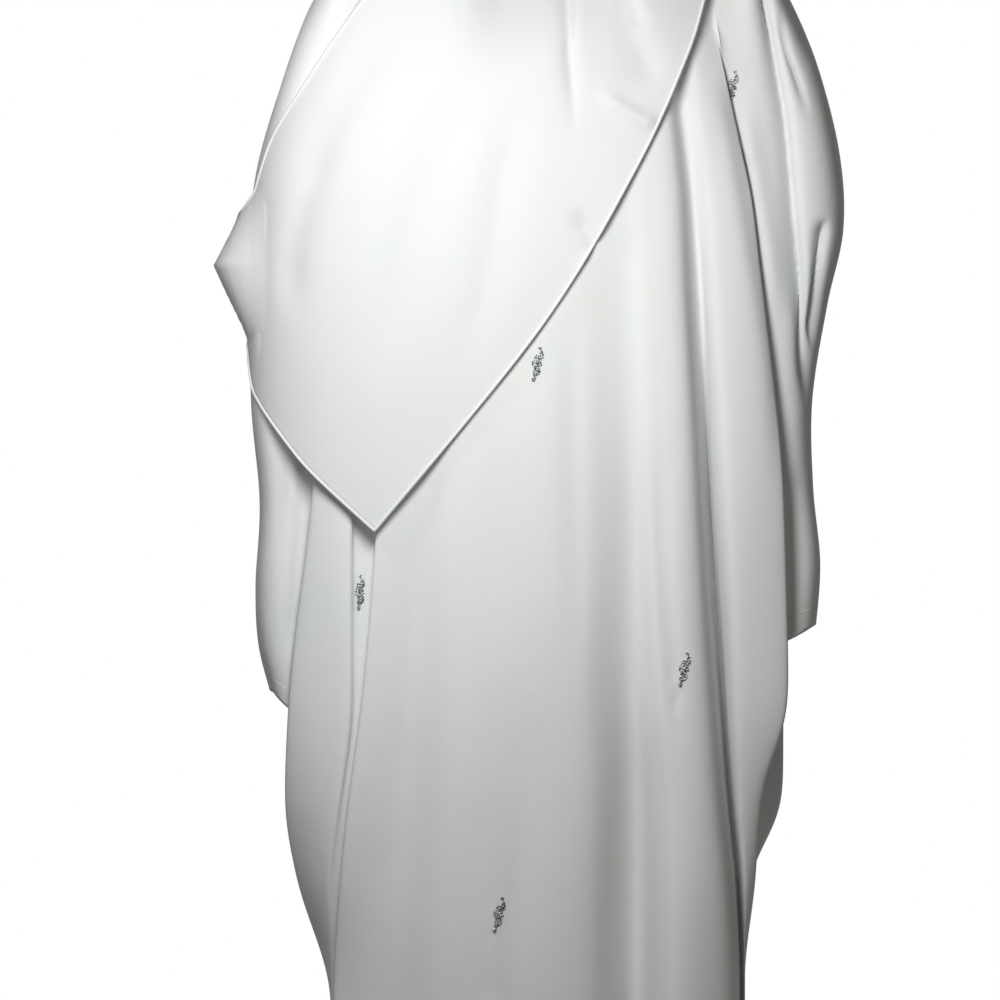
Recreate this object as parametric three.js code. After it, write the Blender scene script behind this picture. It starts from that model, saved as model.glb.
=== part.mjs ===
// An abaya: a full-length white gown with wide sleeves and a semi-sheer panel draped over the chest.
// Millimetres, +Z up, the front faces -Y. The origin is on the centre line at the height of the neck point,
// so the hem is at HEM_Z. Left and right are the wearer's: +X is the wearer's left.
import * as THREE from "three";

// ---------- driving sizes ----------
const HEM_Z = -1370; // from the neck point to the hem
const SHOULDER_X = 185; // centre line to the end of the shoulder seam
const SHOULDER_DROP = 40; // how far the shoulder end lies below the neck point
const NECK_X = 75; // half the width of the neckline
const NECK_FRONT_Y = 64; // how far the neckline comes forward
const NECK_BACK_Y = 58; // how far it goes back
const NECK_SLOPE = 31; // share of the neckline's fall that tips it to the front
const NECK_DIP = 49; // share of the fall that is the same at the front and the back
const CLOTH = 1.4; // wall of the gown's cloth
const SHEER = 1.2; // wall of the semi-sheer panel
const ROLLED_HEM = 2.6; // wall of its rolled hem
const SEAM_GAP = 0.4; // clear width of each seam
const BINDING_HEIGHT = 10;
const BINDING_WALL = 1.8;
const BINDING_RISE = 1; // how far its lower edge stands above the neckline
const BINDING_IN = [2, 0.2]; // how far it stands in from the neckline, at its top edge and below

// ---------- folds ----------
// Heights at which each fold of the body is stated, from the waist-high level down to the hem.
const LEVELS = [-331, -646, -856, -961, -1045, -1171, HEM_Z];

// name, x at the top edge, x at each level, y at each level, steps to the next fold
const FRONT_FOLDS = [
  ["seam_right", -185, [-167, -166, -170, -176, -176, -156, -152], [3, 4, 5, 6, 10, 14, 14], 2],
  ["tuck_right", -180, [-180, -182, -190, -193, -190, -172, -168], [-70, -62, -59, -42, -18, 2, 4], 2],
  ["under_right", -174, [-200, -214, -238, -242, -232, -198, -196], [-96, -85, -80, -55, -28, -2, 0], 2],
  ["crest_right", -168, [-213, -239, -263, -268, -255, -216, -214], [-107, -95, -85, -65, -39, -8, -6], 2],
  ["strip_right", -152, [-196, -218, -232, -243, -244, -219, -218], [-115, -111, -108, -95, -70, -30, -28], 2],
  ["recess_edge", -138, [-178, -198, -200, -213, -224, -218, -218], [-119, -117, -121, -116, -97, -56, -54], 2],
  ["recess_left", -130, [-170, -192, -193, -206, -214, -211, -210], [-117, -106, -111, -110, -96, -64, -62], 2],
  ["recess_right", -122, [-155, -162, -177, -192, -200, -206, -205], [-121, -113, -112, -108, -98, -74, -72], 3],
  ["panel_edge", -112, [-148, -168, -185, -198, -207, -214, -213], [-127, -129, -128, -124, -113, -84, -84], 2],
  ["dip_right", -92, [-116, -122, -133, -139, -146, -150, -152], [-133, -130, -131, -128, -122, -122, -124], 2],
  ["ridge_right", -68, [-80, -85, -87, -89, -95, -100, -102], [-138, -140, -147, -150, -150, -152, -156], 2],
  ["middle", -16, [-20, -20, -22, -20, -22, -28, -30], [-142, -143, -150, -152, -154, -158, -162], 2],
  ["step", 22, [28, 30, 35, 36, 34, 30, 30], [-141, -141, -146, -147, -148, -150, -156], 3],
  ["soft_valley", 60, [80, 84, 77, 76, 72, 75, 76], [-135, -127, -119, -107, -101, -98, -98], 3],
  ["ridge_left", 86, [108, 115, 117, 132, 124, 121, 124], [-135, -138, -143, -142, -146, -150, -154], 2],
  ["valley_brow", 106, [134, 150, 164, 172, 180, 194, 194], [-128, -132, -128, -124, -122, -112, -116], 2],
  ["deep_valley", 120, [154, 173, 187, 195, 203, 206, 203], [-110, -102, -88, -80, -77, -76, -76], 2],
  ["strip_left", 138, [174, 197, 207, 208, 214, 214, 216], [-117, -120, -112, -98, -84, -62, -62], 2],
  ["crest_left", 168, [220, 254, 258, 229, 225, 212, 213], [-106, -93, -90, -80, -62, -26, -24], 2],
  ["under_left", 174, [206, 230, 234, 216, 210, 196, 196], [-97, -86, -85, -68, -44, -12, -10], 2],
  ["tuck_left", 180, [180, 182, 188, 190, 190, 170, 168], [-70, -62, -62, -48, -24, -4, -2], 2],
  ["seam_left", 185, [167, 166, 170, 176, 176, 156, 152], [3, 4, 5, 6, 10, 14, 14], 0],
];

const BACK_FOLDS = [
  ["seam_left", 185, [167, 166, 170, 176, 176, 156, 152], [3, 4, 5, 6, 10, 14, 14], 2],
  ["tuck_left", 180, [180, 182, 190, 196, 192, 172, 168], [62, 56, 52, 48, 44, 34, 32], 2],
  ["under_left", 174, [204, 224, 236, 238, 208, 190, 190], [84, 76, 70, 62, 58, 44, 44], 2],
  ["crest_left", 168, [218, 248, 257, 256, 221, 206, 210], [92, 84, 78, 72, 72, 56, 58], 2],
  ["strip_left", 148, [188, 214, 220, 216, 200, 192, 196], [98, 102, 104, 100, 96, 88, 92], 3],
  ["valley_one", 126, [158, 178, 182, 180, 174, 170, 170], [94, 92, 88, 84, 84, 80, 80], 3],
  ["ridge_one", 102, [124, 136, 142, 146, 146, 146, 150], [101, 114, 118, 121, 123, 122, 126], 3],
  ["valley_two", 62, [84, 86, 84, 80, 78, 76, 76], [100, 105, 101, 98, 98, 97, 96], 3],
  ["ridge_mid", 8, [14, 12, 10, 8, 8, 6, 6], [107, 119, 126, 130, 133, 134, 138], 3],
  ["valley_three", -54, [-62, -66, -72, -78, -80, -82, -82], [101, 106, 103, 101, 101, 100, 99], 3],
  ["ridge_four", -96, [-116, -128, -136, -142, -144, -144, -146], [101, 112, 114, 116, 117, 117, 119], 3],
  ["valley_four", -126, [-156, -176, -182, -184, -182, -174, -172], [94, 92, 87, 84, 82, 78, 78], 3],
  ["strip_right", -148, [-186, -212, -222, -226, -216, -196, -198], [98, 101, 101, 97, 92, 84, 86], 2],
  ["crest_right", -168, [-214, -242, -258, -262, -248, -212, -212], [92, 84, 77, 68, 62, 54, 56], 2],
  ["under_right", -174, [-202, -220, -238, -240, -226, -192, -190], [84, 76, 69, 59, 50, 42, 42], 2],
  ["tuck_right", -180, [-180, -182, -190, -196, -190, -172, -168], [62, 56, 52, 46, 42, 34, 32], 2],
  ["seam_right", -185, [-167, -166, -170, -176, -176, -156, -152], [3, 4, 5, 6, 10, 14, 14], 0],
];

// The armhole from the shoulder end to the underarm: distance from the centre line, how far it lies
// to the front, how far to the back, and height.
const ARMHOLE = [
  [185, 0, 0, -40],
  [183, 46, 38, -76],
  [181, 78, 64, -121],
  [188, 93, 76, -172],
  [190, 78, 64, -222],
  [167, 0, 0, -262],
];
const UNDERARM_Y = 1.5;
const UNDERARM = ARMHOLE.length - 1; // the place of the underarm, counted in the armhole's points
const ARMHOLE_HOLD = 1.5; // how far the cloth beside the armhole is held in from it
// The two folds next to the armhole, as shares of the way from it to the crest: fold, share at the
// shoulder, then share outwards and share forwards once the tuck has hooked round.
const TUCKS = [
  [1, 0.33, 0.06, 0.74],
  [2, 0.67, 0.56, 0.96],
];
const TUCK_HOOKS = [2.2, 3.4]; // upper rows between which the tucks hook round
const TUCK_FREES = [2.5, 6]; // and between which they come free of the armhole
const HOLD_STARTS = [1.5, 2.5]; // and between which the armhole's hold begins
// How far down from the top edge to the first level each of the upper rows lies, as a share.
const UPPER_ROWS = [0, 0.16, 0.32, 0.5, 0.68, 0.86, 1];
const STEPS_PER_UPPER_ROW = 2;
const SHOULDER_SWELL = [2.4, 0.6]; // how fast the body fills out below the shoulder seam
const MIDDLE_SWELL = 1.7; // and below the neckline
const SWELL_ZONE = [30, 95]; // between which distances from the centre line one passes to the other
const BESIDE_ARMHOLE = [140, 166]; // folds that begin this far out stay near the armhole at the top
const BESIDE_HOLD = 0.2; // for this share of the way down
const LOWER_HEIGHTS = [-400, -480, -560, -646, -750, -856, -910, -961, -1003, -1045, -1108, -1171, -1270, HEM_Z];

// Rings of each sleeve from the armhole to the cuff: outer x and height, inner x and height, height
// half way between, front y and back y.
const SLEEVE_LEFT = [
  [232, -75, 193, -290, -180, -90, 74],
  [262, -121, 198, -318, -218, -91, 76],
  [291, -190, 201, -352, -270, -91, 77],
  [314, -278, 200, -392, -335, -90, 78],
  [319, -362, 200, -440, -400, -87, 78],
  [301, -442, 197, -490, -466, -84, 74],
  [285, -541, 191, -565, -552, -80, 68],
  [287, -630, 189, -645, -637, -77, 64],
  [295, -710, 190, -726, -718, -76, 62],
  [290, -776, 192, -806, -800, -76, 60],
];
const SLEEVE_RIGHT = [
  [214, -84, 193, -290, -186, -90, 74],
  [245, -138, 198, -318, -228, -90, 76],
  [279, -232, 201, -356, -290, -88, 77],
  [300, -320, 200, -400, -360, -87, 78],
  [304, -420, 199, -460, -440, -85, 76],
  [303, -541, 193, -560, -550, -81, 69],
  [294, -646, 189, -660, -652, -77, 64],
  [298, -735, 190, -752, -744, -76, 61],
  [295, -796, 192, -830, -817, -73, 58],
  [283, -846, 195, -900, -882, -68, 54],
];
const SLEEVE_ROUND = 2.1; // how square the sleeve's section is, 2 being an ellipse

// Mantle: the smooth form that the draped panel lies on. Height, half width, front depth, back depth.
const MANTLE = [
  [-60, 214, 96, 84],
  [-121, 246, 118, 104],
  [-226, 286, 140, 116],
  [-331, 305, 147, 118],
  [-436, 308, 148, 118],
  [-541, 307, 148, 118],
  [-700, 302, 153, 118],
];
const MANTLE_SQUARE = 2.8;
// Edges of the draped panel on the mantle: place round it (x at the front, further once it passes the
// side) and height. Free edges are the front, the rear and the end.
const DRAPE_FRONT = [
  [178, -38], [181, -80], [171, -121], [152, -184], [100, -299], [-1, -467], [-173, -678],
];
const DRAPE_REAR = [
  [-108, -12], [-142, -66], [-183, -121], [-217, -168], [-248, -215], [-282, -271], [-306, -347], [-324, -399],
];
const DRAPE_END = [
  [-324, -399], [-317, -436], [-309, -472], [-303, -522], [-293, -546], [-266, -585], [-236, -620], [-173, -678],
];
const DRAPE_TIP_OUT = 42; // how far the hidden corner stands off the arm
const DRAPE_TIP_REACH = 78; // how far above and below the corner the cloth is lifted with it
const DRAPE_TIP_SIDE = [-285, -315]; // and across which places the lift begins and is whole
const DRAPE_TOP_STEPS = 40; // points of its top edge along the shoulder and the chest
const DRAPE_LEAVES_CHEST = 0.3; // share of its length, from the shoulder, over which it leaves the chest
const DRAPE_RISES = 0.08; // and over which it rises to its full distance
const DRAPE_ACROSS = 22; // columns and rows of the panel's grid
const DRAPE_DOWN = 18;
const DRAPE_HEM_SHARE = 0.008; // share of the panel that its rolled hem takes at each free edge
const DRAPE_REST = [1, 7]; // how far it stands off the chest at the shoulder, and just below
// The chest that it lies on near the shoulder: greatest depth, half width, how square it is, how much
// wider it is at the first level than at the shoulder, and how far round it reaches.
const CHEST_DEPTH = 142;
const CHEST_HALF = 300;
const CHEST_SQUARE = 2.4;
const CHEST_SPREAD = 1.24;
const CHEST_REACH = 0.98;

// ---------- small helpers ----------
const mix = (a, b, t) => a + (b - a) * t;
const clamp = (v, lo, hi) => Math.min(hi, Math.max(lo, v));

function smooth(lo, hi, v) {
  const t = clamp((v - lo) / (hi - lo), 0, 1);
  return t * t * (3 - 2 * t);
}

// A curve through values at rising or falling places that never overshoots them.
function through(places, values, at) {
  const n = places.length;
  const up = places[n - 1] > places[0] ? 1 : -1;
  let i = 0;
  while (i < n - 2 && up * (at - places[i + 1]) > 0) i++;
  const slope = (k) => (values[k + 1] - values[k]) / (places[k + 1] - places[k]);
  const tangent = (k) => {
    if (k === 0) return slope(0);
    if (k === n - 1) return slope(n - 2);
    const a = slope(k - 1);
    const b = slope(k);
    return a * b <= 0 ? 0 : (2 * a * b) / (a + b);
  };
  const width = places[i + 1] - places[i];
  const t = clamp((at - places[i]) / width, 0, 1);
  const u = 1 - t;
  return (
    values[i] * u * u * (1 + 2 * t) +
    values[i + 1] * t * t * (3 - 2 * t) +
    tangent(i) * width * t * u * u -
    tangent(i + 1) * width * t * t * u
  );
}

// A smooth curve through points, read at a place counted in points.
function along(points, at) {
  const n = points.length;
  const i = clamp(Math.floor(at), 0, n - 2);
  const t = at - i;
  const [p, q, r, s] = [-1, 0, 1, 2].map((k) => points[clamp(i + k, 0, n - 1)]);
  return q.map((_, k) => {
    const a = (r[k] - p[k]) / 2;
    const b = (s[k] - q[k]) / 2;
    const u = 1 - t;
    return (
      q[k] * u * u * (1 + 2 * t) + r[k] * t * t * (3 - 2 * t) + a * t * u * u - b * t * t * u
    );
  });
}

// The same curve, read at a share of its length.
function alongLength(points, share) {
  const lengths = [0];
  for (let i = 1; i < points.length; i++) {
    const step = Math.hypot(...points[i].map((v, k) => v - points[i - 1][k]));
    lengths.push(lengths[i - 1] + step);
  }
  const goal = share * lengths[points.length - 1];
  let i = 0;
  while (i < points.length - 2 && lengths[i + 1] < goal) i++;
  return along(points, i + (goal - lengths[i]) / (lengths[i + 1] - lengths[i]));
}

// A closed sheet of cloth from a grid of points on its outer face. Columns run so that the outer face
// lies on the right hand of the walk; a looped grid joins its last column to its first. The wall of a
// seamed edge lies in the plane of its seam, so that two pieces keep the seam's gap through it.
function sheet(grid, wall, looped, seamed) {
  const rows = grid.length;
  const columns = grid[0].length;
  const outer = grid.map((row) => row.map((p) => new THREE.Vector3(...p)));
  const at = (i, j) => {
    const row = outer[clamp(i, 0, rows - 1)];
    return looped ? row[(j + columns) % columns] : row[clamp(j, 0, columns - 1)];
  };
  const points = [];
  for (let i = 0; i < rows; i++)
    for (let j = 0; j < columns; j++) {
      const across = at(i, j + 1).clone().sub(at(i, j - 1));
      const down = at(i + 1, j).clone().sub(at(i - 1, j));
      const out = down.cross(across).normalize();
      if (seamed) out.multiply(seamed(i, j)).normalize();
      const depth = typeof wall === "function" ? wall(i, j) : [0, wall];
      points.push(at(i, j).clone().addScaledVector(out, depth[0]));
      points.push(at(i, j).clone().addScaledVector(out, -depth[1]));
    }
  const face = [];
  const index = (i, j, side) => 2 * (i * columns + (looped ? j % columns : j)) + side;
  const quad = (a, b, c, d) => face.push(a, b, c, a, c, d);
  const last = looped ? columns : columns - 1;
  for (let i = 0; i < rows - 1; i++)
    for (let j = 0; j < last; j++) {
      quad(index(i, j, 0), index(i + 1, j, 0), index(i + 1, j + 1, 0), index(i, j + 1, 0));
      quad(index(i, j, 1), index(i, j + 1, 1), index(i + 1, j + 1, 1), index(i + 1, j, 1));
    }
  for (let j = 0; j < last; j++) {
    quad(index(0, j, 0), index(0, j + 1, 0), index(0, j + 1, 1), index(0, j, 1));
    const r = rows - 1;
    quad(index(r, j, 0), index(r, j, 1), index(r, j + 1, 1), index(r, j + 1, 0));
  }
  if (!looped)
    for (let i = 0; i < rows - 1; i++) {
      quad(index(i, 0, 0), index(i, 0, 1), index(i + 1, 0, 1), index(i + 1, 0, 0));
      const c = columns - 1;
      quad(index(i, c, 0), index(i + 1, c, 0), index(i + 1, c, 1), index(i, c, 1));
    }
  const geometry = new THREE.BufferGeometry();
  const flat = points.flatMap((p) => [p.x, p.y, p.z]);
  geometry.setAttribute("position", new THREE.Float32BufferAttribute(flat, 3));
  geometry.setIndex(face);
  geometry.computeVertexNormals();
  return geometry;
}

// ---------- the body ----------
// A point of the top edge at x: on the shoulder seam, or on the neckline between the neck points.
function topEdge(x, front) {
  const away = Math.abs(x);
  if (away >= NECK_X) {
    const share = (away - NECK_X) / (SHOULDER_X - NECK_X);
    return [0, -SHOULDER_DROP * share];
  }
  const c = Math.sqrt(1 - (x / NECK_X) ** 2);
  return front
    ? [-NECK_FRONT_Y * c, -NECK_SLOPE * c - NECK_DIP * c * c]
    : [NECK_BACK_Y * c, NECK_SLOPE * c - NECK_DIP * c * c];
}

// How much of its full depth the body has reached at a share of the way to the first level.
function swell(x, share) {
  const shoulder = (1 - (1 - share) ** SHOULDER_SWELL[0]) ** SHOULDER_SWELL[1];
  const middle = 1 - (1 - share) ** MIDDLE_SWELL;
  return mix(middle, shoulder, smooth(...SWELL_ZONE, Math.abs(x)));
}

// The crest beside each armhole stays near it at the top and passes it lower down.
function upperX(top, level, share) {
  const beside = smooth(...BESIDE_ARMHOLE, Math.abs(top));
  const plain = mix(top, level, share);
  const held = mix(top, level, clamp((share - BESIDE_HOLD) / (1 - BESIDE_HOLD), 0, 1));
  return mix(plain, held, beside);
}

// The armhole at a place counted in its points, on one side of the body.
function armhole(place, side, front) {
  const [x, forward, back, z] = along(ARMHOLE, place);
  const y = front ? -forward : back;
  return [side * x, y + UNDERARM_Y * smooth(4, 5, place), z];
}

// The folds of a panel at a row, as a list of points in order round the body.
function foldsAt(folds, row, front) {
  const upper = UPPER_ROWS.length - 1;
  if (row >= upper) {
    const z = mixHeights(row - upper);
    return folds.map(([, , xs, ys]) => [through(LEVELS, xs, z), through(LEVELS, ys, z), z]);
  }
  const share = through(UPPER_ROWS.map((_, k) => k), UPPER_ROWS, row);
  const count = folds.length;
  const list = folds.map(([, top, xs, ys]) => {
    const [y, z] = topEdge(top, front);
    return [
      upperX(top, xs[0], share),
      mix(y, ys[0], swell(top, share)),
      mix(z, LEVELS[0], share),
    ];
  });
  // The edge follows the armhole, then the side seam; the two folds next to it close up to it.
  for (const [edge, step] of [[0, 1], [count - 1, -1]]) {
    const side = Math.sign(folds[edge][1]);
    const seam = list[edge];
    const hole = armhole(Math.min(row, UNDERARM), side, front);
    const sideSeam = [folds[edge][2][0], folds[edge][3][0], LEVELS[0]];
    const past = Math.max(row - UNDERARM, 0);
    seam.splice(0, 3, ...hole.map((v, k) => mix(v, sideSeam[k], past)));
    const crest = list[edge + 3 * step];
    const free = smooth(...TUCK_FREES, row);
    const hooked = smooth(...TUCK_HOOKS, row);
    for (const [k, plain, out, forth] of TUCKS) {
      const shares = [out, forth, forth].map((v) => mix(plain, v, hooked));
      const held = shares.map((v, c) => mix(seam[c], crest[c], v));
      held[0] -= side * ARMHOLE_HOLD * smooth(...HOLD_STARTS, row);
      const own = list[edge + k * step];
      own.splice(0, 3, ...held.map((v, c) => mix(v, own[c], free)));
    }
  }
  return list;
}

function mixHeights(place) {
  const heights = [LEVELS[0], ...LOWER_HEIGHTS];
  const i = clamp(Math.floor(place), 0, heights.length - 2);
  return mix(heights[i], heights[i + 1], place - i);
}

// One of the two body panels as rows of points on its outer face.
function bodyGrid(folds, front) {
  const rows = [];
  const upper = UPPER_ROWS.length - 1;
  for (let k = 0; k < upper * STEPS_PER_UPPER_ROW; k++) rows.push(k / STEPS_PER_UPPER_ROW);
  for (let k = 0; k <= LOWER_HEIGHTS.length; k++) rows.push(upper + k);
  return rows.map((row) => {
    const list = foldsAt(folds, row, front);
    const points = [];
    folds.forEach(([, , , , steps], k) => {
      const count = Math.max(steps, 1);
      for (let s = 0; s < count; s++) points.push(along(list, k + s / count));
    });
    // On the top edge every point lies on the seam line itself.
    if (row === 0)
      points.forEach((p) => {
        const [y, z] = topEdge(p[0], front);
        p[1] = y;
        p[2] = z;
      });
    // Each seam is left open by its gap.
    const away = ((front ? -1 : 1) * SEAM_GAP) / 2;
    if (row === 0)
      points.forEach((p) => {
        p[1] += away;
      });
    for (const p of [points[0], points[points.length - 1]]) {
      if (row <= UNDERARM) p[0] -= Math.sign(p[0]) * (SEAM_GAP / 2);
      p[1] += away;
    }
    return points;
  });
}

// How much of the cloth's outward direction is kept at a place of the armhole: none of it across.
const acrossArmhole = (place, from, to) => smooth(from, to, place);

function body(grid) {
  const last = grid[0].length - 1;
  const seamed = (i, j) => {
    const place = i / STEPS_PER_UPPER_ROW;
    const atSide = j === 0 || j === last;
    const onShoulder = i === 0 && Math.abs(grid[i][j][0]) >= NECK_X - 1;
    const keepX = atSide && place < UNDERARM ? acrossArmhole(place, 3, 3.5) : 1;
    const keepY = onShoulder || (atSide && place >= UNDERARM - 0.5) ? 0 : 1;
    return new THREE.Vector3(keepX, keepY, 1);
  };
  return sheet(grid, CLOTH, false, seamed);
}

// ---------- the sleeves ----------
function sleeveGrid(rings, side) {
  const half = UNDERARM * STEPS_PER_UPPER_ROW;
  const grid = [];
  // From the shoulder end round the front to the underarm, then up the back.
  const places = [];
  for (let k = 0; k < 2 * half; k++) {
    const front = k <= half;
    places.push([front ? k / half : 2 - k / half, front]);
  }
  if (side > 0) places.reverse();
  grid.push(
    places.map(([t, front]) => {
      const p = armhole(UNDERARM * t, side, front);
      p[0] += side * (SEAM_GAP / 2);
      if (t === 1) p[1] = UNDERARM_Y;
      return p;
    }),
  );
  const first = grid[0];
  const all = rings.map(([outX, outZ, inX, inZ, midZ, frontY, backY]) =>
    places.map(([t, front]) => {
      const turn = Math.PI * t;
      const c = Math.sign(Math.cos(turn)) * Math.abs(Math.cos(turn)) ** (2 / SLEEVE_ROUND);
      const s = Math.abs(Math.sin(turn)) ** (2 / SLEEVE_ROUND);
      return [
        side * mix(inX, outX, (1 + c) / 2),
        front ? frontY * s : backY * s,
        midZ + ((outZ - inZ) / 2) * c + ((outZ + inZ) / 2 - midZ) * c * c,
      ];
    }),
  );
  // A ring half way to the first keeps the sleeve head round.
  const knots = [first, ...all];
  for (let r = 0; r < knots.length - 1; r++) {
    const steps = r < 2 ? 2 : 1;
    for (let s = 1; s <= steps; s++)
      grid.push(places.map((_, j) => along(knots.map((ring) => ring[j]), r + s / steps)));
  }
  return grid;
}

function sleeve(rings, side) {
  const grid = sleeveGrid(rings, side);
  const half = grid[0].length / 2;
  const seamed = (i, j) => {
    const turn = side > 0 ? grid[0].length - 1 - j : j;
    const place = UNDERARM * (turn <= half ? turn / half : 2 - turn / half);
    return new THREE.Vector3(i === 0 ? acrossArmhole(place, 3, 4.5) : 1, 1, 1);
  };
  return sheet(grid, CLOTH, true, seamed);
}

// ---------- the neck binding ----------
// The neckline of a panel: its top row between the neck points.
function neckline(grid) {
  const row = grid[0];
  const points = [];
  for (let j = 0; j < row.length - 1; j++) {
    const [a, b] = [row[j], row[j + 1]];
    for (const end of [-NECK_X, NECK_X]) {
      const share = (end - a[0]) / (b[0] - a[0]);
      if (share > 0 && share < 1) points.push(a.map((v, k) => mix(v, b[k], share)));
    }
    if (Math.abs(b[0]) < NECK_X) points.push(b);
  }
  return points;
}

function neckBinding(front, back) {
  const ring = [...neckline(front), ...neckline(back).slice(1, -1)];
  const raised = (inward, up) =>
    ring.map(([x, y, z]) => {
      const share = 1 - inward / Math.hypot(x, y);
      return [x * share, y * share, z + up];
    });
  const [topIn, lowIn] = BINDING_IN;
  const grid = [
    raised(topIn, BINDING_HEIGHT),
    raised(lowIn, BINDING_HEIGHT / 2),
    raised(lowIn, BINDING_RISE),
  ];
  return sheet(grid, BINDING_WALL, true);
}

// ---------- the draped panel ----------
function mantle(place, z) {
  const [heights, widths, fronts, backs] = [0, 1, 2, 3].map((k) => MANTLE.map((row) => row[k]));
  const width = through(heights, widths, z);
  const behind = Math.abs(place) > width;
  const x = behind ? Math.sign(place) * (2 * width - Math.abs(place)) : place;
  const depth = through(heights, behind ? backs : fronts, z);
  const share = clamp(1 - Math.abs(x / width) ** MANTLE_SQUARE, 0, 1) ** (1 / MANTLE_SQUARE);
  return [x, (behind ? 1 : -1) * depth * share, z];
}

// The front panel without its folds, for the part of the drape that lies close to it.
function chest(x, z) {
  const down = clamp(z / LEVELS[0], 0, 1);
  const top = clamp(x / mix(1, CHEST_SPREAD, down), -SHOULDER_X, SHOULDER_X);
  const [topY, topZ] = topEdge(top, true);
  const share = clamp((topZ - z) / (topZ - LEVELS[0]), 0, 1);
  const reach = clamp(Math.abs(x / CHEST_HALF), 0, CHEST_REACH);
  const full = -CHEST_DEPTH * (1 - reach ** CHEST_SQUARE) ** (1 / CHEST_SQUARE);
  return mix(topY, full, swell(top, share));
}

// A point a given way out from it.
function overChest(x, z, out) {
  const h = 6;
  const slopeX = (chest(x + h, z) - chest(x - h, z)) / (2 * h);
  const slopeZ = (chest(x, z + h) - chest(x, z - h)) / (2 * h);
  const length = Math.hypot(slopeX, 1, slopeZ);
  return [x + (out * slopeX) / length, chest(x, z) - out / length, z + (out * slopeZ) / length];
}

function drapeGrid() {
  const top = [];
  for (let k = 0; k <= DRAPE_TOP_STEPS; k++) {
    const x = mix(DRAPE_REAR[0][0], DRAPE_FRONT[0][0], k / DRAPE_TOP_STEPS);
    top.push([x, topEdge(x, true)[1]]);
  }
  const tipHeight = DRAPE_END[0][1];
  const grid = [];
  for (let i = 0; i <= DRAPE_DOWN; i++) {
    const row = [];
    for (let j = 0; j <= DRAPE_ACROSS; j++) {
      // The columns and rows next to a free edge lie close to it, to shape its rolled hem.
      const u = edgeSpaced(j, DRAPE_ACROSS, true, true);
      const v = edgeSpaced(i, DRAPE_DOWN, false, true);
      const [a, b] = [alongLength(top, u), alongLength(DRAPE_END, u)];
      const [c, d] = [alongLength(DRAPE_REAR, v), alongLength(DRAPE_FRONT, v)];
      const corner = [top[0], top[DRAPE_TOP_STEPS], DRAPE_END[0], DRAPE_END[DRAPE_END.length - 1]];
      const [place, z] = [0, 1].map(
        (k) =>
          mix(a[k], b[k], v) +
          mix(c[k], d[k], u) -
          mix(mix(corner[0][k], corner[1][k], u), mix(corner[2][k], corner[3][k], u), v),
      );
      const on = mantle(place, z);
      const free = smooth(0, DRAPE_LEAVES_CHEST, v);
      const rest = mix(...DRAPE_REST, smooth(0, DRAPE_RISES, v));
      const close = overChest(place, z, SHEER + SEAM_GAP + rest);
      const tipNear = 1 - clamp(Math.abs(z - tipHeight) / DRAPE_TIP_REACH, 0, 1);
      on[0] -= DRAPE_TIP_OUT * tipNear * smooth(...DRAPE_TIP_SIDE, place);
      row.push(on.map((c, k) => mix(close[k], c, free)));
    }
    grid.push(row);
  }
  return grid;
}

function edgeSpaced(k, count, nearStart, nearEnd) {
  const hem = DRAPE_HEM_SHARE;
  if (k === 0) return 0;
  if (k === count) return 1;
  if (nearStart && k === 1) return hem;
  if (nearEnd && k === count - 1) return 1 - hem;
  const lo = nearStart ? 1 : 0;
  const hi = nearEnd ? count - 1 : count;
  return mix(nearStart ? hem : 0, nearEnd ? 1 - hem : 1, (k - lo) / (hi - lo));
}

function drape() {
  const hemWall = (i, j) => {
    const onHem = j <= 1 || j >= DRAPE_ACROSS - 1 || i >= DRAPE_DOWN - 1;
    return onHem && i > 1 ? [(ROLLED_HEM - SHEER) / 2, (ROLLED_HEM + SHEER) / 2] : [0, SHEER];
  };
  return sheet(drapeGrid(), hemWall, false);
}

// ---------- the garment ----------
const white = new THREE.MeshStandardMaterial({ color: 0xe9ebe8, roughness: 0.86, metalness: 0 });
const sheer = new THREE.MeshStandardMaterial({ color: 0xf2f3f1, roughness: 0.8, metalness: 0 });
const edge = new THREE.MeshStandardMaterial({ color: 0xdfe1de, roughness: 0.86, metalness: 0 });

const frontGrid = bodyGrid(FRONT_FOLDS, true);
const backGrid = bodyGrid(BACK_FOLDS, false);

const group = new THREE.Group();
for (const [name, geometry, material] of [
  ["front_panel", body(frontGrid), white],
  ["back_panel", body(backGrid), white],
  ["sleeve_left", sleeve(SLEEVE_LEFT, 1), white],
  ["sleeve_right", sleeve(SLEEVE_RIGHT, -1), white],
  ["overlay_panel", drape(), sheer],
  ["neck_binding", neckBinding(frontGrid, backGrid), edge],
]) {
  const mesh = new THREE.Mesh(geometry, material);
  mesh.name = name;
  group.add(mesh);
}

export default group;
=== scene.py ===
"""A white abaya in its worn shape, with a semi-sheer panel draped over the chest."""

import math

import bmesh
import bpy
import numpy as np
from bpy.props import FloatProperty, FloatVectorProperty, IntProperty, PointerProperty
from mathutils import Matrix, Vector, noise
from mathutils.bvhtree import BVHTree


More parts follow.
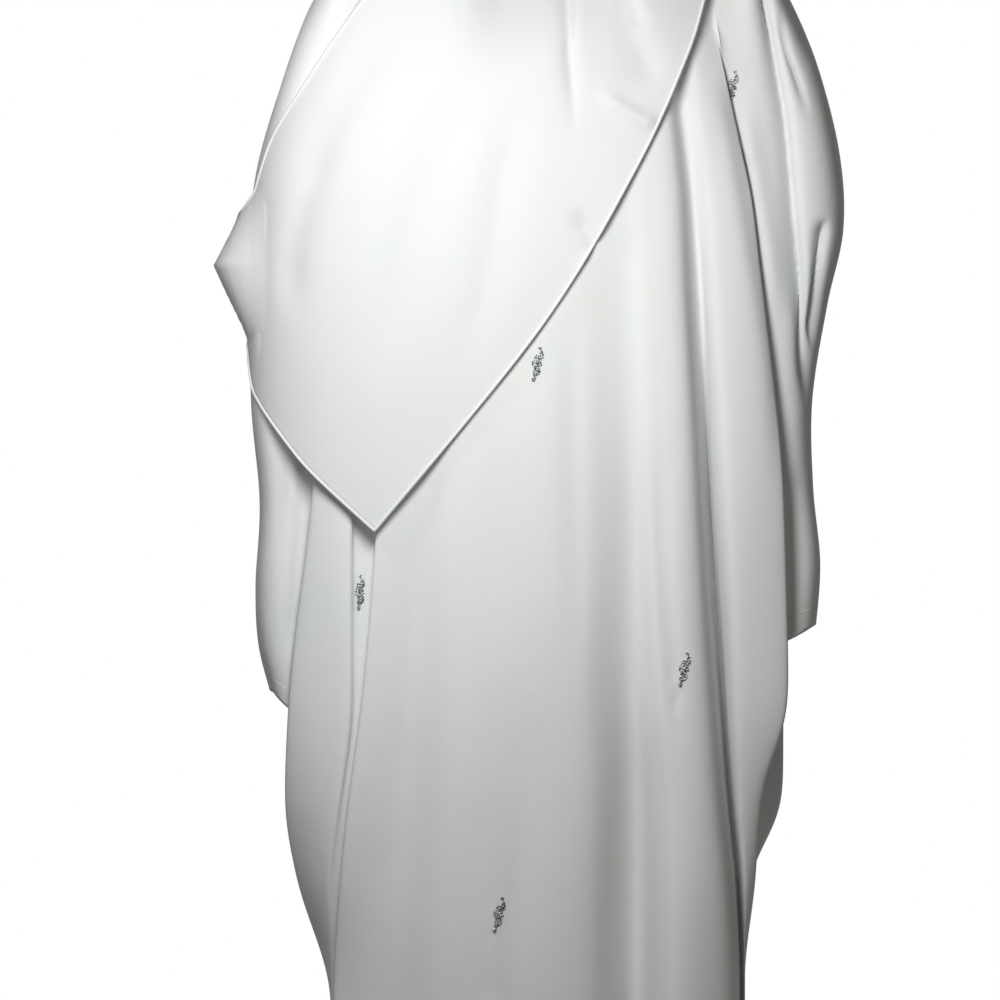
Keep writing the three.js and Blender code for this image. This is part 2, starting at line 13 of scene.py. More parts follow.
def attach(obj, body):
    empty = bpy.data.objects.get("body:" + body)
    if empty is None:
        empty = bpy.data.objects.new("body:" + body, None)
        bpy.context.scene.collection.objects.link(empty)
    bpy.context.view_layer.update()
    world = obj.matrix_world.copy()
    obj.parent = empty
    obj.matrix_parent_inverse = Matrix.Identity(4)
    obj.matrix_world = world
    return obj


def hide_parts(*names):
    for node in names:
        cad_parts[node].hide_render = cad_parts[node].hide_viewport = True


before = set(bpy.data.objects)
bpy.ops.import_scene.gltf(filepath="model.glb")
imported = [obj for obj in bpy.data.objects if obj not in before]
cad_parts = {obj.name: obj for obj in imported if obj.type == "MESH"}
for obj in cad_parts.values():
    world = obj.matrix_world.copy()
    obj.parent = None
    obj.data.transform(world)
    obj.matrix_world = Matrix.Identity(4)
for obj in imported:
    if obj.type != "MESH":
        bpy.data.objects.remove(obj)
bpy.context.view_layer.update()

bl_info = {
    "name": "Abaya",
    "version": (1, 0, 0),
    "blender": (4, 5, 0),
    "location": "View3D > Sidebar > Abaya",
    "description": "Cuts, drapes and beads a white abaya, one piece at a time",
    "category": "Add Mesh",
}

MM = 0.001

# ---------- the pattern, in millimetres; left and right are the wearer's, +X is the left ----------
HEM_Z = -1370
SHOULDER_X = 185
SHOULDER_DROP = 40
NECK_X = 75
NECK_FRONT_Y = 64
NECK_BACK_Y = 58
NECK_SLOPE = 31
NECK_DIP = 49
SEAM_GAP = 0.4

# Heights at which each fold of the body is stated.
LEVELS = [-331, -646, -856, -961, -1045, -1171, HEM_Z]

# name, x at the top edge, x at each level, y at each level
FRONT_FOLDS = [
    ("seam_right", -185, [-167, -166, -170, -176, -176, -156, -152], [3, 4, 5, 6, 10, 14, 14]),
    ("tuck_right", -180, [-180, -182, -190, -193, -190, -172, -168], [-70, -62, -59, -42, -18, 2, 4]),
    ("under_right", -174, [-200, -214, -238, -242, -232, -198, -196], [-96, -85, -80, -55, -28, -2, 0]),
    ("crest_right", -168, [-213, -239, -263, -268, -255, -216, -214], [-107, -95, -85, -65, -39, -8, -6]),
    ("strip_right", -152, [-196, -218, -232, -243, -244, -219, -218], [-115, -111, -108, -95, -70, -30, -28]),
    ("recess_edge", -138, [-178, -198, -200, -213, -224, -218, -218],
     [-119, -117, -121, -116, -97, -56, -54]),
    ("recess_left", -130, [-170, -192, -193, -206, -214, -211, -210],
     [-117, -106, -111, -110, -96, -64, -62]),
    ("recess_right", -122, [-155, -162, -177, -192, -200, -206, -205],
     [-121, -113, -112, -108, -98, -74, -72]),
    ("panel_edge", -112, [-148, -168, -185, -198, -207, -214, -213],
     [-127, -129, -128, -124, -113, -84, -84]),
    ("dip_right", -92, [-116, -122, -133, -139, -146, -150, -152],
     [-133, -130, -131, -128, -122, -122, -124]),
    ("ridge_right", -68, [-80, -85, -87, -89, -95, -100, -102], [-138, -140, -147, -150, -150, -152, -156]),
    ("middle", -16, [-20, -20, -22, -20, -22, -28, -30], [-142, -143, -150, -152, -154, -158, -162]),
    ("step", 22, [28, 34, 46, 52, 52, 52, 52], [-141, -141, -146, -147, -148, -150, -156]),
    ("soft_valley", 60, [82, 90, 94, 97, 98, 99, 100], [-135, -127, -118, -104, -96, -91, -91]),
    ("ridge_left", 86, [110, 120, 128, 139, 140, 140, 142], [-135, -138, -143, -142, -146, -150, -154]),
    ("valley_brow", 106, [142, 160, 174, 182, 191, 200, 200], [-129, -134, -134, -133, -132, -124, -126]),
    ("deep_valley", 120, [159, 177, 191, 199, 207, 210, 207], [-110, -102, -88, -80, -77, -76, -76]),
    ("strip_left", 138, [182, 200, 208, 209, 214, 215, 216], [-117, -120, -112, -98, -84, -62, -62]),
    ("crest_left", 168, [220, 254, 258, 229, 225, 212, 213], [-108, -105, -101, -88, -66, -28, -26]),
    ("under_left", 174, [206, 230, 234, 216, 210, 196, 196], [-97, -86, -85, -68, -44, -12, -10]),
    ("tuck_left", 180, [180, 182, 188, 190, 190, 170, 168], [-70, -62, -62, -48, -24, -4, -2]),
    ("seam_left", 185, [167, 166, 170, 176, 176, 156, 152], [3, 4, 5, 6, 10, 14, 14]),
]
BACK_FOLDS = [
    ("seam_left", 185, [167, 166, 170, 176, 176, 156, 152], [3, 4, 5, 6, 10, 14, 14]),
    ("tuck_left", 180, [180, 182, 190, 196, 192, 172, 168], [62, 56, 52, 48, 44, 34, 32]),
    ("under_left", 174, [204, 224, 236, 238, 208, 190, 190], [84, 76, 70, 62, 58, 44, 44]),
    ("crest_left", 168, [218, 248, 257, 256, 221, 206, 210], [92, 84, 78, 72, 72, 56, 58]),
    ("strip_left", 148, [188, 214, 220, 216, 200, 192, 196], [98, 102, 104, 100, 96, 88, 92]),
    ("valley_one", 126, [158, 178, 182, 180, 174, 170, 170], [94, 92, 88, 84, 84, 80, 80]),
    ("ridge_one", 102, [124, 136, 142, 146, 146, 146, 150], [101, 114, 118, 121, 123, 122, 126]),
    ("valley_two", 62, [84, 86, 84, 80, 78, 76, 76], [100, 105, 101, 98, 98, 97, 96]),
    ("ridge_mid", 8, [14, 12, 10, 8, 8, 6, 6], [107, 119, 126, 130, 133, 134, 138]),
    ("valley_three", -54, [-62, -66, -72, -78, -80, -82, -82], [101, 106, 103, 101, 101, 100, 99]),
    ("ridge_four", -96, [-116, -128, -136, -142, -144, -144, -146], [101, 112, 114, 116, 117, 117, 119]),
    ("valley_four", -126, [-156, -176, -182, -184, -182, -174, -172], [94, 92, 87, 84, 82, 78, 78]),
    ("strip_right", -148, [-186, -212, -222, -226, -216, -196, -198], [98, 101, 101, 97, 92, 84, 86]),
    ("crest_right", -168, [-214, -242, -258, -262, -248, -212, -212], [92, 84, 77, 68, 62, 54, 56]),
    ("under_right", -174, [-202, -220, -238, -240, -226, -192, -190], [84, 76, 69, 59, 50, 42, 42]),
    ("tuck_right", -180, [-180, -182, -190, -196, -190, -172, -168], [62, 56, 52, 46, 42, 34, 32]),
    ("seam_right", -185, [-167, -166, -170, -176, -176, -156, -152], [3, 4, 5, 6, 10, 14, 14]),
]

# The armhole from the shoulder end to the underarm: from the centre, to the front, to the back, height.
ARMHOLE = [
    [185, 0, 0, -40],
    [183, 46, 38, -76],
    [181, 78, 64, -121],
    [188, 93, 76, -172],
    [190, 78, 64, -222],
    [167, 0, 0, -262],
]
UNDERARM = 5
UNDERARM_Y = 1.5
UNDERARM_ROWS = (4, 5)
ARMHOLE_HOLD = 1.5
# Beside each armhole: which fold from the side seam, its plain share of the way to the crest, and its
# shares sideways and forward once the tuck is hooked.
TUCKS = [(1, 0.33, 0.06, 0.74), (2, 0.67, 0.56, 0.96)]
CREST_FOLD = 3
UPPER_ROWS = [0, 0.16, 0.32, 0.5, 0.68, 0.86, 1]
# The upper rows between which the armhole's hold starts, the tucks hook, and the tucks come free.
HOLD_STARTS = (1.5, 2.5)
TUCK_HOOKS = (2.2, 3.4)
TUCK_FREES = (2.5, 6)
# How fast the cloth swells out below its top edge, in the middle and at the shoulders.
SWELL_MIDDLE = 1.7
SWELL_SHOULDER = (2.4, 0.6)
SWELL_ZONE = (30, 95)
BESIDE_ARMHOLE = (140, 166)
BESIDE_HOLD = 0.2
UPPER_SHARE = 0.245
EASE_TIMES = 12

# Rings of each sleeve: outer x and height, inner x and height, height half way, front y and back y.
SLEEVE_LEFT = [
    [232, -75, 193, -290, -180, -90, 74],
    [262, -121, 198, -318, -218, -91, 76],
    [291, -190, 201, -352, -270, -91, 77],
    [314, -278, 200, -392, -335, -90, 78],
    [319, -362, 200, -440, -400, -87, 78],
    [301, -442, 197, -490, -466, -84, 74],
    [285, -541, 191, -565, -552, -80, 68],
    [287, -630, 189, -645, -637, -77, 64],
    [295, -710, 190, -726, -718, -76, 62],
    [290, -776, 192, -806, -800, -76, 60],
]
SLEEVE_RIGHT = [
    [214, -84, 193, -290, -186, -90, 74],
    [245, -138, 198, -318, -228, -90, 76],
    [279, -232, 201, -356, -290, -88, 77],
    [300, -320, 200, -400, -360, -87, 78],
    [304, -420, 199, -460, -440, -85, 76],
    [303, -541, 193, -560, -550, -81, 69],
    [294, -646, 189, -660, -652, -77, 64],
    [298, -735, 190, -752, -744, -76, 61],
    [295, -796, 192, -830, -817, -73, 58],
    [283, -846, 195, -900, -882, -68, 54],
]
# How square the sleeves' sections are: 2 is round.
SLEEVE_ROUND = 3.5
SLEEVE_GRID = (150, 150)

# The form that the draped panel lies on: height, half width, front depth, back depth.
MANTLE = [
    [-60, 214, 96, 84],
    [-121, 246, 118, 104],
    [-226, 286, 140, 116],
    [-331, 305, 147, 118],
    [-436, 308, 148, 118],
    [-541, 307, 148, 118],
    [-700, 302, 153, 118],
]
MANTLE_SQUARE = 2.8
# The draped panel's edges: place round the form from its front middle, and height.
DRAPE_FRONT = [[178, -38], [181, -80], [171, -121], [152, -184], [100, -299], [-1, -467], [-173, -678]]
DRAPE_REAR = [
    [-108, -12], [-142, -66], [-183, -121], [-217, -168],
    [-248, -215], [-282, -271], [-306, -347], [-324, -399],
]
DRAPE_END = [
    [-324, -399], [-317, -436], [-309, -472], [-303, -522],
    [-293, -546], [-266, -585], [-236, -620], [-173, -678],
]
DRAPE_TIP_OUT = 42
DRAPE_TIP_REACH = 78
DRAPE_TIP_SIDE = (-285, -315)
DRAPE_REST = (1.0, 7)
DRAPE_RISES = 0.08
DRAPE_LEAVES_CHEST = 0.3
DRAPE_TOP_STEPS = 41
DRAPE_EDGE_STEPS = 400
DRAPE_GRID = (170, 150)
SHEER_WALL = 1.2
CHEST_DEPTH = 142
CHEST_HALF = 300
CHEST_SQUARE = 2.4
CHEST_SPREAD = 1.24
CHEST_REACH = 0.98
CHEST_STEP = 6

# The cloth's unevenness: its size, its height and, for the draped panel, its seed.
BODY_UNEVEN = (60, 1.6)
SLEEVE_UNEVEN = (50, 2.0)
DRAPE_UNEVEN = (70, 1.4, 5)
UNEVEN_UPRIGHT = 3.2
SEED_SHIFT = (7.3, 3.1, 1.7)
# Columns and rows of the body, and rows of the others, over which creases die away towards an edge.
BODY_RIM = (5, 6)
SLEEVE_RIM = 14
DRAPE_RIM = 12
DRAPE_CREASE_LIMIT = 6.5
# How far the cloth must face the front or back for its creases to count.
BODY_FACES = (-0.1, 0.2)
HUNG_FACES = (0, 0.4)
FINE_STEPS = 24
CREASE_STEPS = 5

# Creases pressed in: places (x, height), width towards the right arm, width towards the left
# arm, depth, the share of its length over which each end dies away, and how it falls: 2 is soft, 1 is
# sharp. A negative depth is a ridge.
FRONT_CREASES = [
    ([(152, -235), (160, -331), (166, -400), (172, -520), (178, -646), (183, -720), (188, -790), (192, -856),
      (195, -910), (199, -961), (203, -1003), (207, -1045), (210, -1108), (212, -1171), (212, -1260)],
     8, 3, 30, 0.4, 0.1, 1.3),
    ([(30, -420), (34, -520), (36, -640), (38, -740), (37, -860)], 16, 12, 3, 0.3, 0.4, 2),
    ([(123, -560), (126, -646), (132, -750), (140, -830), (142, -930)], 12, 10, 4, 0.35, 0.45, 2),
    ([(92, -480), (96, -600), (101, -740), (102, -860), (104, -1000), (106, -1180)],
     26, 12, 7, 0.35, 0.2, 1.6),
    ([(-132, -640), (-130, -760), (-138, -900), (-146, -1060)], 16, 20, 4, 0.35, 0.4, 2),
    ([(-20, -900), (-24, -1010), (-30, -1140), (-36, -1300)], 14, 20, 2.5, 0.4, 0.3, 2),
    ([(-19, -1084), (-10, -1080), (-2, -1078)], 2.5, 3.5, 1.6, 0.4, 0.4, 2),
    ([(-62, -1098), (-54, -1100), (-46, -1096)], 3, 3, 1.4, 0.4, 0.4, 2),
    ([(146, -846), (141, -858), (137, -872)], 3, 4, 2, 0.3, 0.5, 2),
    ([(132, -822), (139, -826), (145, -828)], 2.5, 3, 1.2, 0.4, 0.4, 2),
    ([(-69, -1169), (-50, -1172), (-31, -1172)], 3, 4, -1.6, 0.4, 0.4, 2),
]
# Where the front's last fold rolls back towards the left sleeve; the whole fold moves with it.
FRONT_ROLLS = [
    ([(193, -190), (209, -264), (221, -337), (232, -401), (243, -464), (250, -520), (254, -667)],
     11, 14, 8, 0.12, 0.35, 2),
]
BACK_CREASES = [
    ([(150, -260), (166, -420), (178, -640), (184, -860), (178, -1010), (172, -1250)], 8, 14, 9, 0.2, 0.1, 2),
    ([(40, -300), (46, -480), (42, -700), (30, -900)], 14, 18, 4, 0.3, 0.4, 2),
    ([(-30, -420), (-34, -600), (-28, -800), (-32, -1060)], 16, 14, 3.5, 0.3, 0.4, 2),
    ([(-66, -240), (-70, -520), (-76, -840), (-82, -1120), (-84, -1300)], 12, 8, 8, 0.25, 0.1, 2),
    ([(-150, -300), (-172, -560), (-182, -800), (-184, -1000), (-176, -1180)], 14, 8, 9, 0.2, 0.2, 2),
    ([(96, -160), (70, -210), (38, -240)], 14, 14, 3, 0.4, 0.5, 2),
    ([(-104, -150), (-76, -206), (-44, -246)], 14, 14, 3, 0.4, 0.5, 2),
]
LEFT_SLEEVE_CREASES = [
    ([(206, -215), (217, -264), (230, -337), (241, -401), (250, -464)], 8, 12, -6, 0.3, 0.3, 2),
    ([(229, -60), (238, -121), (249, -197), (257, -248), (264, -324), (271, -401), (277, -464), (282, -520),
      (286, -562)], 9, 4, 18, 0.05, 0.15, 1.2),
    ([(299, -350), (294, -391), (292, -425), (289, -467), (288, -500)], 7, 3, 13, 0.12, 0.3, 1.3),
    ([(249, -126), (260, -177), (272, -211), (282, -254)], 6, 3, 6, 0.3, 0.4, 1.2),
    ([(262, -112), (275, -148), (288, -188)], 5, 3, 4, 0.3, 0.4, 1.2),
    ([(270, -600), (262, -660), (264, -720), (258, -790)], 9, 12, 5, 0.3, 0.1, 2),
]
RIGHT_SLEEVE_CREASES = [
    ([(-236, -510), (-241, -550), (-246, -607), (-250, -670), (-254, -740), (-262, -830)],
     9, 14, 5, 0.3, 0.2, 2),
    ([(-270, -420), (-274, -520), (-272, -620), (-276, -720)], 14, 12, 4, 0.35, 0.3, 2),
]
SLEEVE_BACK_CREASES = [
    ([(236, -150), (250, -260), (262, -380), (268, -500)], 10, 14, 6, 0.25, 0.4, 2),
    ([(214, -300), (222, -420), (232, -560), (240, -720)], 12, 12, 5, 0.3, 0.2, 2),
    ([(282, -360), (272, -440), (262, -520)], 12, 10, 5, 0.3, 0.4, 2),
]
DRAPE_CREASES = [
    ([(28, -60), (29, -121), (31, -171), (35, -223), (39, -280)], 8, 4, 9, 0.1, 0.5, 1.2),
    ([(56, -60), (84, -130), (110, -190), (126, -222)], 28, 16, 6, 0.2, 0.2, 1.6),
    ([(33, -340), (48, -362), (62, -386)], 9, 5, 6, 0.5, 0.1, 1.2),
    ([(84, -100), (94, -121), (103, -142), (116, -156)], 8, 6, 4, 0.2, 0.4, 2),
    ([(56, -218), (78, -232), (100, -246), (126, -256)], 9, 7, -5, 0.35, 0.2, 2),
    ([(-150, -130), (-190, -200), (-232, -270), (-262, -330)], 16, 22, 5, 0.3, 0.4, 2),
    ([(-60, -160), (-110, -300), (-150, -440), (-165, -560)], 24, 24, 4, 0.35, 0.35, 2),
    ([(-20, -200), (-40, -320), (-60, -440), (-90, -540)], 18, 20, 3, 0.35, 0.35, 2),
    ([(-214, -250), (-246, -330), (-262, -400), (-256, -470)], 14, 18, 5, 0.3, 0.3, 2),
]

# Bead sprigs on each piece: which way it faces, place across, height, lean in degrees.
SPRIGS = {
    "front_panel": [
        ("front", -3, -504, 5),
        ("front", -188, -742, -4),
        ("front", 150, -822, 6),
        ("front", -43, -1077, 7),
        ("front", 118, -1268, 4),
        ("front", -168, -1296, -5),
        ("front", 60, -196, 3),
    ],
    "back_panel": [
        ("back", -6, -246, 3),
        ("back", 128, -388, -5),
        ("back", -132, -472, 6),
        ("back", 8, -640, -4),
        ("back", 144, -812, 7),
        ("back", -140, -868, 5),
        ("back", 6, -1012, 4),
        ("back", 150, -1198, -6),
        ("back", -146, -1246, 5),
    ],
    "sleeve_left": [
        ("front", 200.5, -215, 6),
        ("left", 46, -300, 5),
        ("left", 44, -520, -6),
        ("left", 40, -716, 4),
    ],
    "sleeve_right": [
        ("front", -199.5, -220.5, -8),
        ("right", 46, -470, -5),
        ("right", 42, -690, 6),
    ],
}

# The beads of one sprig: place across, place up, and size beside a small bead.
SPRIG_BEADS = [
    (0.3, 16.4, 0.8), (1.8, 17.0, 0.95), (2.2, 14.9, 0.8), (3.5, 12.6, 1.2), (4.7, 10.0, 1.0),
    (4.4, 7.2, 1.15), (2.0, 11.0, 0.85), (2.4, 8.4, 0.9), (2.6, 5.2, 1.15), (0.3, 8.3, 0.85),
    (0.4, 5.9, 1.1), (-1.0, 3.3, 1.05), (1.0, 2.7, 0.95), (0.1, 0.5, 1.5), (-2.0, 0.3, 0.8),
    (3.0, 1.5, 1.0), (3.7, -0.7, 1.05), (1.7, -1.7, 1.1), (-0.6, -1.9, 0.9), (-1.7, -4.0, 1.3),
    (-2.0, 8.4, 0.8), (-3.1, 6.3, 0.7), (-3.5, 3.9, 0.7), (-4.7, 1.3, 1.2), (-4.9, -1.2, 0.9),
    (-3.4, -2.7, 1.0), (0.6, -6.5, 1.3), (-1.3, -7.0, 0.8), (2.7, -5.3, 0.8), (3.0, -7.9, 1.0),
    (1.9, -10.1, 1.0), (0.2, -11.3, 1.1), (-3.4, -8.5, 0.9), (-3.2, -11.0, 1.0), (-1.6, -12.3, 1.1),
    (-2.5, -14.6, 1.0), (-2.9, -16.7, 1.7), (-1.3, -15.7, 0.9), (3.4, 8.6, 0.8), (-1.5, 6.0, 0.85),
    (0.9, -4.2, 1.0), (-2.6, -5.8, 0.9), (1.2, -8.6, 1.0), (-1.4, -9.6, 0.95),
]
BEAD_STANDS = 0.75
SPRIG_LOOKS = {"front": (0, 1, 0), "back": (0, -1, 0), "left": (-1, 0, 0), "right": (1, 0, 0)}

# The neck binding's section, outward and up from the neckline.
BINDING_PROFILE = [
    (-1.7, 1.4), (-2.0, 5.2), (-3.0, 9.0), (-2.6, 10.4), (-1.4, 10.6), (-0.9, 9.4),
    (-0.1, 5.4), (-0.1, 1.6), (-0.6, 1.0), (-1.3, 1.0), (-1.7, 1.4),
]
BINDING_STEPS = 180
BINDING_HEM = 0.0016
FEWER_AT_BACK = 44
TUBE_SIDES = 10
TUBE_END = 0.05
TUBE_LOOK = (0.13, 1.0, 0.21)
MERGE_DISTANCE = 1e-6

# ---------- the looks, in metres where they are lengths ----------
THREAD_SWAY = 2.4
THREAD_HEIGHT = 0.5
COOL_FROM = (0.5, 0.66)
WARM_FROM = (0.5, 0.34)
FLECK_COLOUR = (0.35, 0.36, 0.35, 1)
STITCH_LENGTH = 0.0032
STITCH_SHARE = 0.72
STITCH_HALF = (0.0006, 0.0003)
STITCH_SUNK = 0.8
STITCH_RAISED = 0.6
HEM_STEP = (0.0016, 0.0026)
FLOOR_RADIUS = 1.8
FLOOR_HEIGHT = -1.46
GLOW = {"Color": (1.0, 1.0, 0.94, 1), "Strength": 0.13}
PLAIN = {"Color": (1, 1, 1, 1), "Strength": 1.0}
# Each light: name, place, aim, size, power and tint.
LIGHTS = [
    ("key", (-0.16, -0.99, -0.14), (-0.08, -0.14, -0.55), 0.4, 8.9, (1, 0.998, 0.99)),
    ("beside", (-0.85, -0.5, 0.3), (-0.25, 0, -0.3), 0.3, 2.4),
    ("behind", (0.5, 2.2, 0.4), (0, 0, -0.6), 1.2, 14),
]
LENS = 548
CAMERA_PLACE = (-0.042, -16, -0.646)
# ---------- small helpers ----------


def mix(a, b, t):
    return a + (b - a) * t


def smooth(low, high, value):
    t = np.clip((value - low) / (high - low), 0, 1)
    return t * t * (3 - 2 * t)


def through(places, values, at):
    """A curve through values at rising or falling places that never overshoots them."""
    places, values = np.asarray(places, float), np.asarray(values, float)
    at = np.asarray(at, float)
    if places[-1] < places[0]:
        places, at = -places, -at
    width = np.diff(places)
    spread = (slice(None),) + (None,) * (values.ndim - 1)
    slope = np.diff(values, axis=0) / width[spread]
    before, after = slope[:-1], slope[1:]
    total = np.where(before * after <= 0, 1, before + after)
    inner = np.where(before * after <= 0, 0, 2 * before * after / total)
    tangent = np.concatenate([slope[:1], inner, slope[-1:]])
    i = np.clip(np.searchsorted(places, at, side="right") - 1, 0, len(places) - 2)
    more = (...,) + (None,) * (values.ndim - 1)
    t = np.clip((at - places[i]) / width[i], 0, 1)[more]
    u, step = 1 - t, width[i][more]
    return (
        values[i] * u * u * (1 + 2 * t)
        + values[i + 1] * t * t * (3 - 2 * t)
        + tangent[i] * step * t * u * u
        - tangent[i + 1] * step * t * t * u
    )


def along(points, at):
    """A smooth curve through points, read at places counted in points."""
    points, at = np.asarray(points, float), np.asarray(at, float)
    count = points.shape[-2]
    i = np.clip(np.floor(at).astype(int), 0, count - 2)
    t = (at - i)[:, None]
    p, q, r, s = (points[..., np.clip(i + k, 0, count - 1), :] for k in (-1, 0, 1, 2))
    a, b, u = (r - p) / 2, (s - q) / 2, 1 - t
    return q * u * u * (1 + 2 * t) + r * t * t * (3 - 2 * t) + a * t * u * u - b * t * t * u


def even_places(points, count):
    """Places counted in points that lie evenly along the curve, or along the mean of several."""
    last = points.shape[-2] - 1
    fine = np.linspace(0, last, FINE_STEPS * last + 1)
    steps = np.linalg.norm(np.diff(along(points, fine), axis=-2), axis=-1)
    steps = steps.reshape(-1, steps.shape[-1]).mean(0)
    lengths = np.concatenate([[0], np.cumsum(steps)])
    return np.interp(np.linspace(0, lengths[-1], count), lengths, fine)


def normals(grid, looped=False):
    """The outward direction at each point of a grid whose rows run down and columns round."""
    down = np.gradient(grid, axis=0)
    if looped:
        across = np.roll(grid, -1, axis=1) - np.roll(grid, 1, axis=1)
    else:
        across = np.gradient(grid, axis=1)
    out = np.cross(down, across)
    return out / np.maximum(np.linalg.norm(out, axis=-1, keepdims=True), 1e-9)


def relaxed(grid, times):
    """The grid with its rows eased into each other; its rim stays where it is."""
    grid = grid.copy()
    for _ in range(times):
        inner = (grid[:-2, 1:-1] + 2 * grid[1:-1, 1:-1] + grid[2:, 1:-1]) / 4
        grid[1:-1, 1:-1] = inner
    return grid


def crease_depth(x, z, creases):
    """How deep the listed creases press the cloth in at each place."""
    total = np.zeros_like(x)
    for line, before, after, depth, fade_in, fade_out, power in creases:
        last = len(line) - 1
        line = along(line, np.linspace(0, last, CREASE_STEPS * last + 1))
        steps = np.linalg.norm(np.diff(line, axis=0), axis=1)
        starts = np.concatenate([[0], np.cumsum(steps)])
        best = np.full(x.shape, np.inf)
        side = np.zeros_like(x)
        share = np.zeros_like(x)
        for a, b, step, start in zip(line[:-1], line[1:], steps, starts):
            run = b - a
            t = np.clip(((x - a[0]) * run[0] + (z - a[1]) * run[1]) / step**2, 0, 1)
            away = np.hypot(x - a[0] - t * run[0], z - a[1] - t * run[1])
            near = away < best
            best = np.where(near, away, best)
            side = np.where(near, run[0] * (z - a[1]) - run[1] * (x - a[0]), side)
            share = np.where(near, (start + t * step) / starts[-1], share)
        width = np.where(side < 0, before, after)
        fade = smooth(0, fade_in, share) * smooth(0, fade_out, 1 - share)
        total += depth * fade * np.exp(-((best / width) ** power))
    return total


def unevenness(grid, size, height, seed):
    """A slow, upright waviness that keeps hung cloth from looking ironed."""
    flat = grid.reshape(-1, 3)
    shift = Vector([seed * step for step in SEED_SHIFT])
    tall = size * UNEVEN_UPRIGHT
    wave = [noise.noise(Vector((p[0] / size, p[1] / size, p[2] / tall)) + shift) for p in flat]
    return height * np.array(wave).reshape(grid.shape[:-1])


# ---------- the body panels ----------
def top_edge(x, front):
    """Depth and height of the top edge at x: on the shoulder seam or the neckline."""
    away = abs(x)
    if away >= NECK_X:
        return 0.0, -SHOULDER_DROP * (away - NECK_X) / (SHOULDER_X - NECK_X)
    c = math.sqrt(1 - (x / NECK_X) ** 2)
    if front:
        return -NECK_FRONT_Y * c, -NECK_SLOPE * c - NECK_DIP * c * c
    return NECK_BACK_Y * c, NECK_SLOPE * c - NECK_DIP * c * c


def swell(x, share):
    """The share of its full depth that the cloth has reached at a share of the way down."""
    shoulder = (1 - (1 - share) ** SWELL_SHOULDER[0]) ** SWELL_SHOULDER[1]
    middle = 1 - (1 - share) ** SWELL_MIDDLE
    return mix(middle, shoulder, smooth(*SWELL_ZONE, abs(x)))


def upper_x(top, level, share):
    """Where a fold lies sideways on its way from the top edge; beside the armholes it is held first."""
    beside = smooth(*BESIDE_ARMHOLE, abs(top))
    held = mix(top, level, np.clip((share - BESIDE_HOLD) / (1 - BESIDE_HOLD), 0, 1))
    return mix(mix(top, level, share), held, beside)


def armhole(place, side, front):
    """A point of the armhole's edge, at a place counted in its rows."""
    x, forward, back, z = along(ARMHOLE, [place])[0]
    y = -forward if front else back
    return np.array([side * x, y + UNDERARM_Y * smooth(*UNDERARM_ROWS, place), z])


def upper_folds(folds, row, front):
    """The folds of a panel at one of its upper rows, as points in order round the body."""
    share = float(through(range(len(UPPER_ROWS)), UPPER_ROWS, [row])[0])
    points = []
    for _, top, xs, ys in folds:
        y, z = top_edge(top, front)
        y = mix(y, ys[0], swell(top, share))
        points.append([upper_x(top, xs[0], share), y, mix(z, LEVELS[0], share)])
    points = np.array(points)
    last = len(folds) - 1
    for edge, step in ((0, 1), (last, -1)):
        side = math.copysign(1, folds[edge][1])
        seam = np.array([folds[edge][2][0], folds[edge][3][0], LEVELS[0]])
        points[edge] = mix(armhole(min(row, UNDERARM), side, front), seam, max(row - UNDERARM, 0))
        crest = points[edge + CREST_FOLD * step].copy()
        free, hooked = smooth(*TUCK_FREES, row), smooth(*TUCK_HOOKS, row)
        for fold, plain, out, forth in TUCKS:
            shares = mix(np.full(3, plain), np.array([out, forth, forth]), hooked)
            held = mix(points[edge], crest, shares)
            held[0] -= side * ARMHOLE_HOLD * smooth(*HOLD_STARTS, row)
            own = edge + fold * step
            points[own] = mix(held, points[own], free)
    return points


def body_grid(folds, front, columns, rows):
    """A body panel's outer face, from its top edge down to the hem."""
    upper = len(UPPER_ROWS) - 1
    above = round(rows * UPPER_SHARE)
    lists = [upper_folds(folds, row, front) for row in np.linspace(0, upper, above + 1)[:-1]]
    heights = np.linspace(LEVELS[0], HEM_Z, rows - above)
    xs = through(LEVELS, np.array([f[2] for f in folds]).T, heights)
    ys = through(LEVELS, np.array([f[3] for f in folds]).T, heights)
    below = np.stack([xs, ys, np.broadcast_to(heights[:, None], xs.shape)], axis=-1)
    lists = np.concatenate([np.array(lists), below])
    grid = along(lists, even_places(lists[above:], columns))
    for point in grid[0]:
        point[1], point[2] = top_edge(min(max(point[0], -SHOULDER_X), SHOULDER_X), front)
    grid = relaxed(grid, EASE_TIMES)
    away = (-1 if front else 1) * SEAM_GAP / 2
    grid[0, :, 1] += away
    grid[1:, [0, -1], 1] += away
    return grid


def creased_body(grid, creases, rolls, facing, seed):
    """The panel with its creases and rolls pressed in; facing is -1 at the front and 1 at the back."""
    out = normals(grid)
    seen = smooth(*BODY_FACES, out[..., 1] * facing)
    pressed = crease_depth(grid[..., 0], grid[..., 2], creases) * seen
    pressed += crease_depth(grid[..., 0], grid[..., 2], rolls)
    uneven = unevenness(grid, *BODY_UNEVEN, seed)
    across, down = (np.arange(count) for count in grid.shape[1::-1])
    rim = smooth(0, BODY_RIM[0], np.minimum(across, across[::-1])) * smooth(0, BODY_RIM[1], down)[:, None]
    grid = grid - out * (uneven * rim)[..., None]
    grid[..., 1] -= facing * pressed * rim
    return grid


